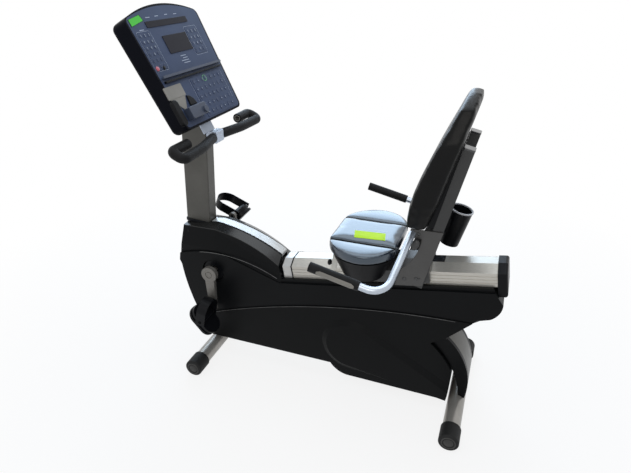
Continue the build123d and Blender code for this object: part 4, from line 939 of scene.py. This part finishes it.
def seat_brackets():
    """The side plates with the cut-out behind the handle, and their bolts."""
    outline = bracket_outline()
    for side_name, side in SIDES.items():
        plate = swept([[datum(x, side * y, z) for x, z in outline] for y in BRACKET_FACES])
        piece = detail(f"seat_bracket_{side_name}", plate, "seat", "frame_paint", "bracket_grey",
                       bevel=0.0008)
        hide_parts(f"seat_plate_{side_name}")
        for number, (x, z, radius) in enumerate(BRACKET_BOLTS):
            bolt = lathe(button(radius, BOLT_PROFILE), facing(x, BRACKET_FACES[1], z, side))
            detail(f"bracket_bolt_{number}_{side_name}", bolt, "seat", "frame_paint", smooth=True)


def seat_fittings():
    """Lever, front bracket with its knob, and the tongue behind the carriage."""
    place = frame_at(datum(*LEVER_PLACE),
                     (math.cos(LEVER_TURN), 0, -math.sin(LEVER_TURN)),
                     (math.sin(LEVER_TURN), 0, math.cos(LEVER_TURN)))
    place = place @ Matrix.Diagonal((LEVER_SQUEEZE, 1.0, 1.0, 1.0))
    detail("seat_lever", lathe(LEVER_PROFILE, place), "seat", "black_plastic", "lever_grey",
           smooth=True)
    place = frame_at(datum(*FRONT_BRACKET_PLACE), (1, 0, 0), (FRONT_BRACKET_LEAN, 0, 1))
    bracket = prism(rounded(*FRONT_BRACKET_SIZE), 0.0, FRONT_BRACKET_THICK, place)
    detail("front_bracket", bracket, "seat", "cover_plastic", "cream_plastic", bevel=0.001)
    place = frame_at(datum(*FRONT_KNOB_PLACE), (0, 1, 0), (0, 0, 1))
    place = place @ Matrix.Rotation(math.pi, 4, "Y")
    detail("front_knob", lathe(KNOB_PROFILE, place), "seat", "black_plastic", smooth=True)
    tongue = [[on_rail(along, across, up) for across, up in TONGUE] for along in TONGUE_ENDS]
    detail("carriage_tongue", swept(tongue), "seat", "black_plastic", bevel=0.0008)


def grip_sensor(side):
    """Thin curved plate let into the outside of a side grip."""
    x, y, z = GRIP_FRONT
    front, run = datum(x, side * y, z), Vector(GRIP_RUN).normalized()
    square = Vector((0, 0, 1)) - run * run.z
    square.normalize()
    turns = range(-SENSOR_TURNS, SENSOR_TURNS + 1)
    sections = []
    for step in range(SENSOR_SECTIONS + 1):
        share = step / SENSOR_SECTIONS
        along = SENSOR_START + SENSOR_LENGTH * share
        ease = min(1.0, min(share, 1 - share) * SENSOR_TAPER + SENSOR_ENDS)
        loop = []
        for radius, order in zip(SENSOR_RADII, (turns, turns[::-1])):
            for turn in order:
                angle = math.radians(SENSOR_TILT + turn * SENSOR_STEP * ease)
                out = Vector((0, side, 0)) * math.cos(angle) + square * math.sin(angle)
                loop.append(front + run * along + out * radius)
        sections.append(loop)
    return swept(sections)


def upright_cap(side):
    """Cap on the top end of an upright."""
    x, y, z = UPRIGHT_FOOT
    foot = datum(x - UPRIGHT_HALF / math.cos(UPRIGHT_LEAN), side * y, z)
    place = frame_at(foot + UPRIGHT_UP * UPRIGHT_LENGTH, UPRIGHT_REAR, (0, 1, 0))
    return prism(rounded(CAP_SIZE, CAP_SIZE, CAP_RADIUS), CAP_LOW, CAP_HIGH, place)


def seat_details():
    """Everything small that rides on the seat, apart from the cushion's own."""
    seat_brackets()
    seat_fittings()
    for side_name, side in SIDES.items():
        detail(f"grip_sensor_{side_name}", grip_sensor(side), "seat", "silver_paint",
               "taupe_plastic")
    for side_name, side in SIDES.items():
        detail(f"upright_cap_{side_name}", upright_cap(side), "seat", "black_plastic",
               "cap_gloss", bevel=0.0015)
    place = frame_at(datum(*CUP_PLACE), UPRIGHT_REAR, (0, 1, 0))
    # the rim's light grey is a painted highlight
    detail("bottle_lip", ring(*CUP_LIP, place, 40), "seat", "black_plastic", "lip_grey",
           bevel=0.0008)


def foot_details():
    """Moulded disc on the end of each rubber cap."""
    for foot, x in FEET_X.items():
        for side_name, side in SIDES.items():
            low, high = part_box(f"{foot}_foot_cap_{side_name}")
            end = low[1] if side < 0 else high[1]
            place = frame_at(Vector((x / 1000 - ORIGIN_X, end, CAP_DISC_Z)), (1, 0, 0),
                             (0, 0, -side))
            detail(f"{foot}_cap_disc_{side_name}", lathe(CAP_DISC_PROFILE, place), "frame",
                   "foot_rubber", "cap_grey", smooth=True)


def seat_seams():
    """Dark cord sewn in between the panels of the seat."""
    outline = cushion_outline(CORD_INSET)
    for name, y in (("seat_seam_near", SEAM_NEAR), ("seat_seam_far", SEAM_FAR)):
        strip = clipped(clipped(outline, 1, y - CORD_HALF), -1, y + CORD_HALF)
        detail(name, prism(strip, CUSHION_LOW, CUSHION_TOP - CORD_DEPTH), "seat", "seat_vinyl",
               "seam_black")


def seat_sticker():
    """Blank sticker that follows the top of the seat."""
    bpy.context.view_layer.update()
    depsgraph = bpy.context.evaluated_depsgraph_get()
    panels = [bpy.data.objects[name] for name in ("cushion_middle", "cushion_near")]
    trees = [BVHTree.FromObject(panel, depsgraph) for panel in panels]
    far_front, far_rear, near_rear, near_front = [datum(*corner) for corner in STICKER_CORNERS]
    down = Vector((0, 0, -1))
    work = bmesh.new()
    rows = []
    for i in range(STICKER_STEPS + 1):
        row = []
        for j in range(STICKER_STEPS + 1):
            along, across = i / STICKER_STEPS, j / STICKER_STEPS
            far = far_front.lerp(far_rear, along)
            near = near_front.lerp(near_rear, along)
            point = far.lerp(near, across)
            above = Vector((point.x, point.y, ABOVE_SEAT))
            found = [tree.ray_cast(above, down)[0] for tree in trees]
            height = max(hit.z for hit in found if hit is not None)
            row.append(work.verts.new((point.x, point.y, height + STICKER_LIFT)))
        rows.append(row)
    for a, b in zip(rows, rows[1:]):
        for j in range(STICKER_STEPS):
            work.faces.new((a[j], a[j + 1], b[j + 1], b[j]))
    bmesh.ops.recalc_face_normals(work, faces=work.faces)
    mesh = bpy.data.meshes.new("seat_sticker")
    work.to_mesh(mesh)
    work.free()
    add("seat_sticker", mesh, "seat", "face_plastic", "yellow_sticker")


# -------- stage
FLOOR_HALF = 30
FLOOR_COLOUR, FLOOR_ROUGH = (0.9, 0.9, 0.9, 1.0), 0.9
FLOOR_WHITE = 0.84  # share of white near the object
FADE_FROM, FADE_TO = 0.9, 2.4
SKY_COLOUR, SKY_STRENGTH = (0.86, 0.92, 1.0, 1.0), 0.4
WHITE = (1.0, 1.0, 1.0, 1.0)

# name, place, target, width, height, watts, colour
LAMPS = (
    ("sky", (0.0, 0.5, 3.6), (0.0, 0.0, 0.5), 3.0, 3.0, 48, (0.88, 0.94, 1.0)),
    ("window", (-1.4, 3.2, 2.3), (0.0, 0.0, 0.6), 3.4, 2.4, 92, (0.6, 0.79, 1.0)),
    ("left", (0.6, -3.0, 2.6), (0.0, 0.0, 0.5), 2.4, 2.0, 28, (1.0, 0.95, 0.88)),
)
CAMERA_PLACE = (0.6168 - ORIGIN_X, -1.7363, 1.6002)
CAMERA_YAW, CAMERA_PITCH, CAMERA_ROLL = map(math.radians, (20.9, 27.3, -0.9))
SENSOR_WIDTH, LENS = 36.0, 29.72


def seen_directly(tree):
    """1 where a ray comes from the eye, a gloss or a clear surface."""
    path = tree.nodes.new("ShaderNodeLightPath")
    total = path.outputs["Is Camera Ray"]
    for kind in ("Is Glossy Ray", "Is Transmission Ray"):
        node = tree.nodes.new("ShaderNodeMath")
        node.operation = "MAXIMUM"
        tree.links.new(total, node.inputs[0])
        tree.links.new(path.outputs[kind], node.inputs[1])
        total = node.outputs[0]
    return total


def white_for_view(tree, shader, place, share):
    """Adds white where the surface is seen: a share near the object, all of it far away."""
    away = tree.nodes.new("ShaderNodeVectorMath")
    away.operation = "LENGTH"
    tree.links.new(place, away.inputs[0])
    fade = tree.nodes.new("ShaderNodeMapRange")
    fade.inputs["From Min"].default_value = FADE_FROM
    fade.inputs["From Max"].default_value = FADE_TO
    fade.inputs["To Min"].default_value = share
    fade.inputs["To Max"].default_value = 1.0
    tree.links.new(away.outputs["Value"], fade.inputs["Value"])
    glow = tree.nodes.new("ShaderNodeEmission")
    glow.inputs["Strength"].default_value = 1.0
    mix = tree.nodes.new("ShaderNodeMixShader")
    amount = tree.nodes.new("ShaderNodeMath")
    amount.operation = "MULTIPLY"
    tree.links.new(fade.outputs["Result"], amount.inputs[1])
    tree.links.new(seen_directly(tree), amount.inputs[0])
    tree.links.new(amount.outputs[0], mix.inputs["Fac"])
    tree.links.new(shader.outputs[0], mix.inputs[1])
    tree.links.new(glow.outputs[0], mix.inputs[2])
    tree.links.new(mix.outputs[0], tree.nodes["Material Output"].inputs["Surface"])


def floor():
    """Wide pale floor that keeps the object's shadow."""
    half = FLOOR_HALF
    work = bmesh.new()
    square = ((-half, -half), (half, -half), (half, half), (-half, half))
    work.faces.new([work.verts.new((x, y, 0.0)) for x, y in square])
    mesh = bpy.data.meshes.new("floor")
    work.to_mesh(mesh)
    work.free()
    piece = bpy.data.objects.new("floor", mesh)
    bpy.context.scene.collection.objects.link(piece)
    made, tree, shader, place = nodes_of("floor")
    shader.inputs["Base Color"].default_value = FLOOR_COLOUR
    shader.inputs["Roughness"].default_value = FLOOR_ROUGH
    white_for_view(tree, shader, place, FLOOR_WHITE)
    mesh.materials.append(made)


def world():
    """Pale blue light all round, seen as white."""
    made = bpy.data.worlds.new("world")
    bpy.context.scene.world = made
    made.use_nodes = True
    tree = made.node_tree
    tree.nodes.clear()
    light = tree.nodes.new("ShaderNodeBackground")
    light.inputs["Color"].default_value = SKY_COLOUR
    light.inputs["Strength"].default_value = SKY_STRENGTH
    white = tree.nodes.new("ShaderNodeBackground")
    white.inputs["Color"].default_value = WHITE
    white.inputs["Strength"].default_value = 1.0
    mix = tree.nodes.new("ShaderNodeMixShader")
    output = tree.nodes.new("ShaderNodeOutputWorld")
    tree.links.new(seen_directly(tree), mix.inputs["Fac"])
    tree.links.new(light.outputs[0], mix.inputs[1])
    tree.links.new(white.outputs[0], mix.inputs[2])
    tree.links.new(mix.outputs[0], output.inputs["Surface"])


def lamp(name, place, target, width, height, power, colour):
    """Soft rectangular lamp that looks at a target."""
    data = bpy.data.lights.new(name, "AREA")
    data.shape = "RECTANGLE"
    data.size, data.size_y = width, height
    data.energy = power
    data.color = colour
    holder = bpy.data.objects.new(name, data)
    bpy.context.scene.collection.objects.link(holder)
    holder.location = place
    aim = Vector(target) - Vector(place)
    holder.rotation_euler = aim.to_track_quat("-Z", "Y").to_euler()


def camera():
    """The camera fitted to the photograph."""
    data = bpy.data.cameras.new("camera")
    data.sensor_width = SENSOR_WIDTH
    data.sensor_fit = "HORIZONTAL"
    data.lens = LENS
    holder = bpy.data.objects.new("camera", data)
    bpy.context.scene.collection.objects.link(holder)
    turn = Matrix.Rotation(CAMERA_YAW, 4, "Z")
    turn = turn @ Matrix.Rotation(math.radians(90) - CAMERA_PITCH, 4, "X")
    turn = turn @ Matrix.Rotation(CAMERA_ROLL, 4, "Z")
    holder.matrix_world = Matrix.Translation(CAMERA_PLACE) @ turn
    bpy.context.scene.camera = holder


def stage():
    """Pale floor and world, soft lamps and the camera."""
    bpy.context.scene.view_settings.view_transform = "Standard"
    floor()
    world()
    for settings in LAMPS:
        lamp(*settings)
    camera()


# -------- the scene
cushion_panel("cushion_near", None, SEAM_NEAR)
cushion_panel("cushion_middle", SEAM_NEAR, SEAM_FAR)
cushion_panel("cushion_far", SEAM_FAR, None)
back_rest()
console_details()
shroud_details()
detail("rail_gasket", rail_gasket, "frame", "black_plastic")
seat_details()
foot_details()
seat_seams()
seat_sticker()
stage()
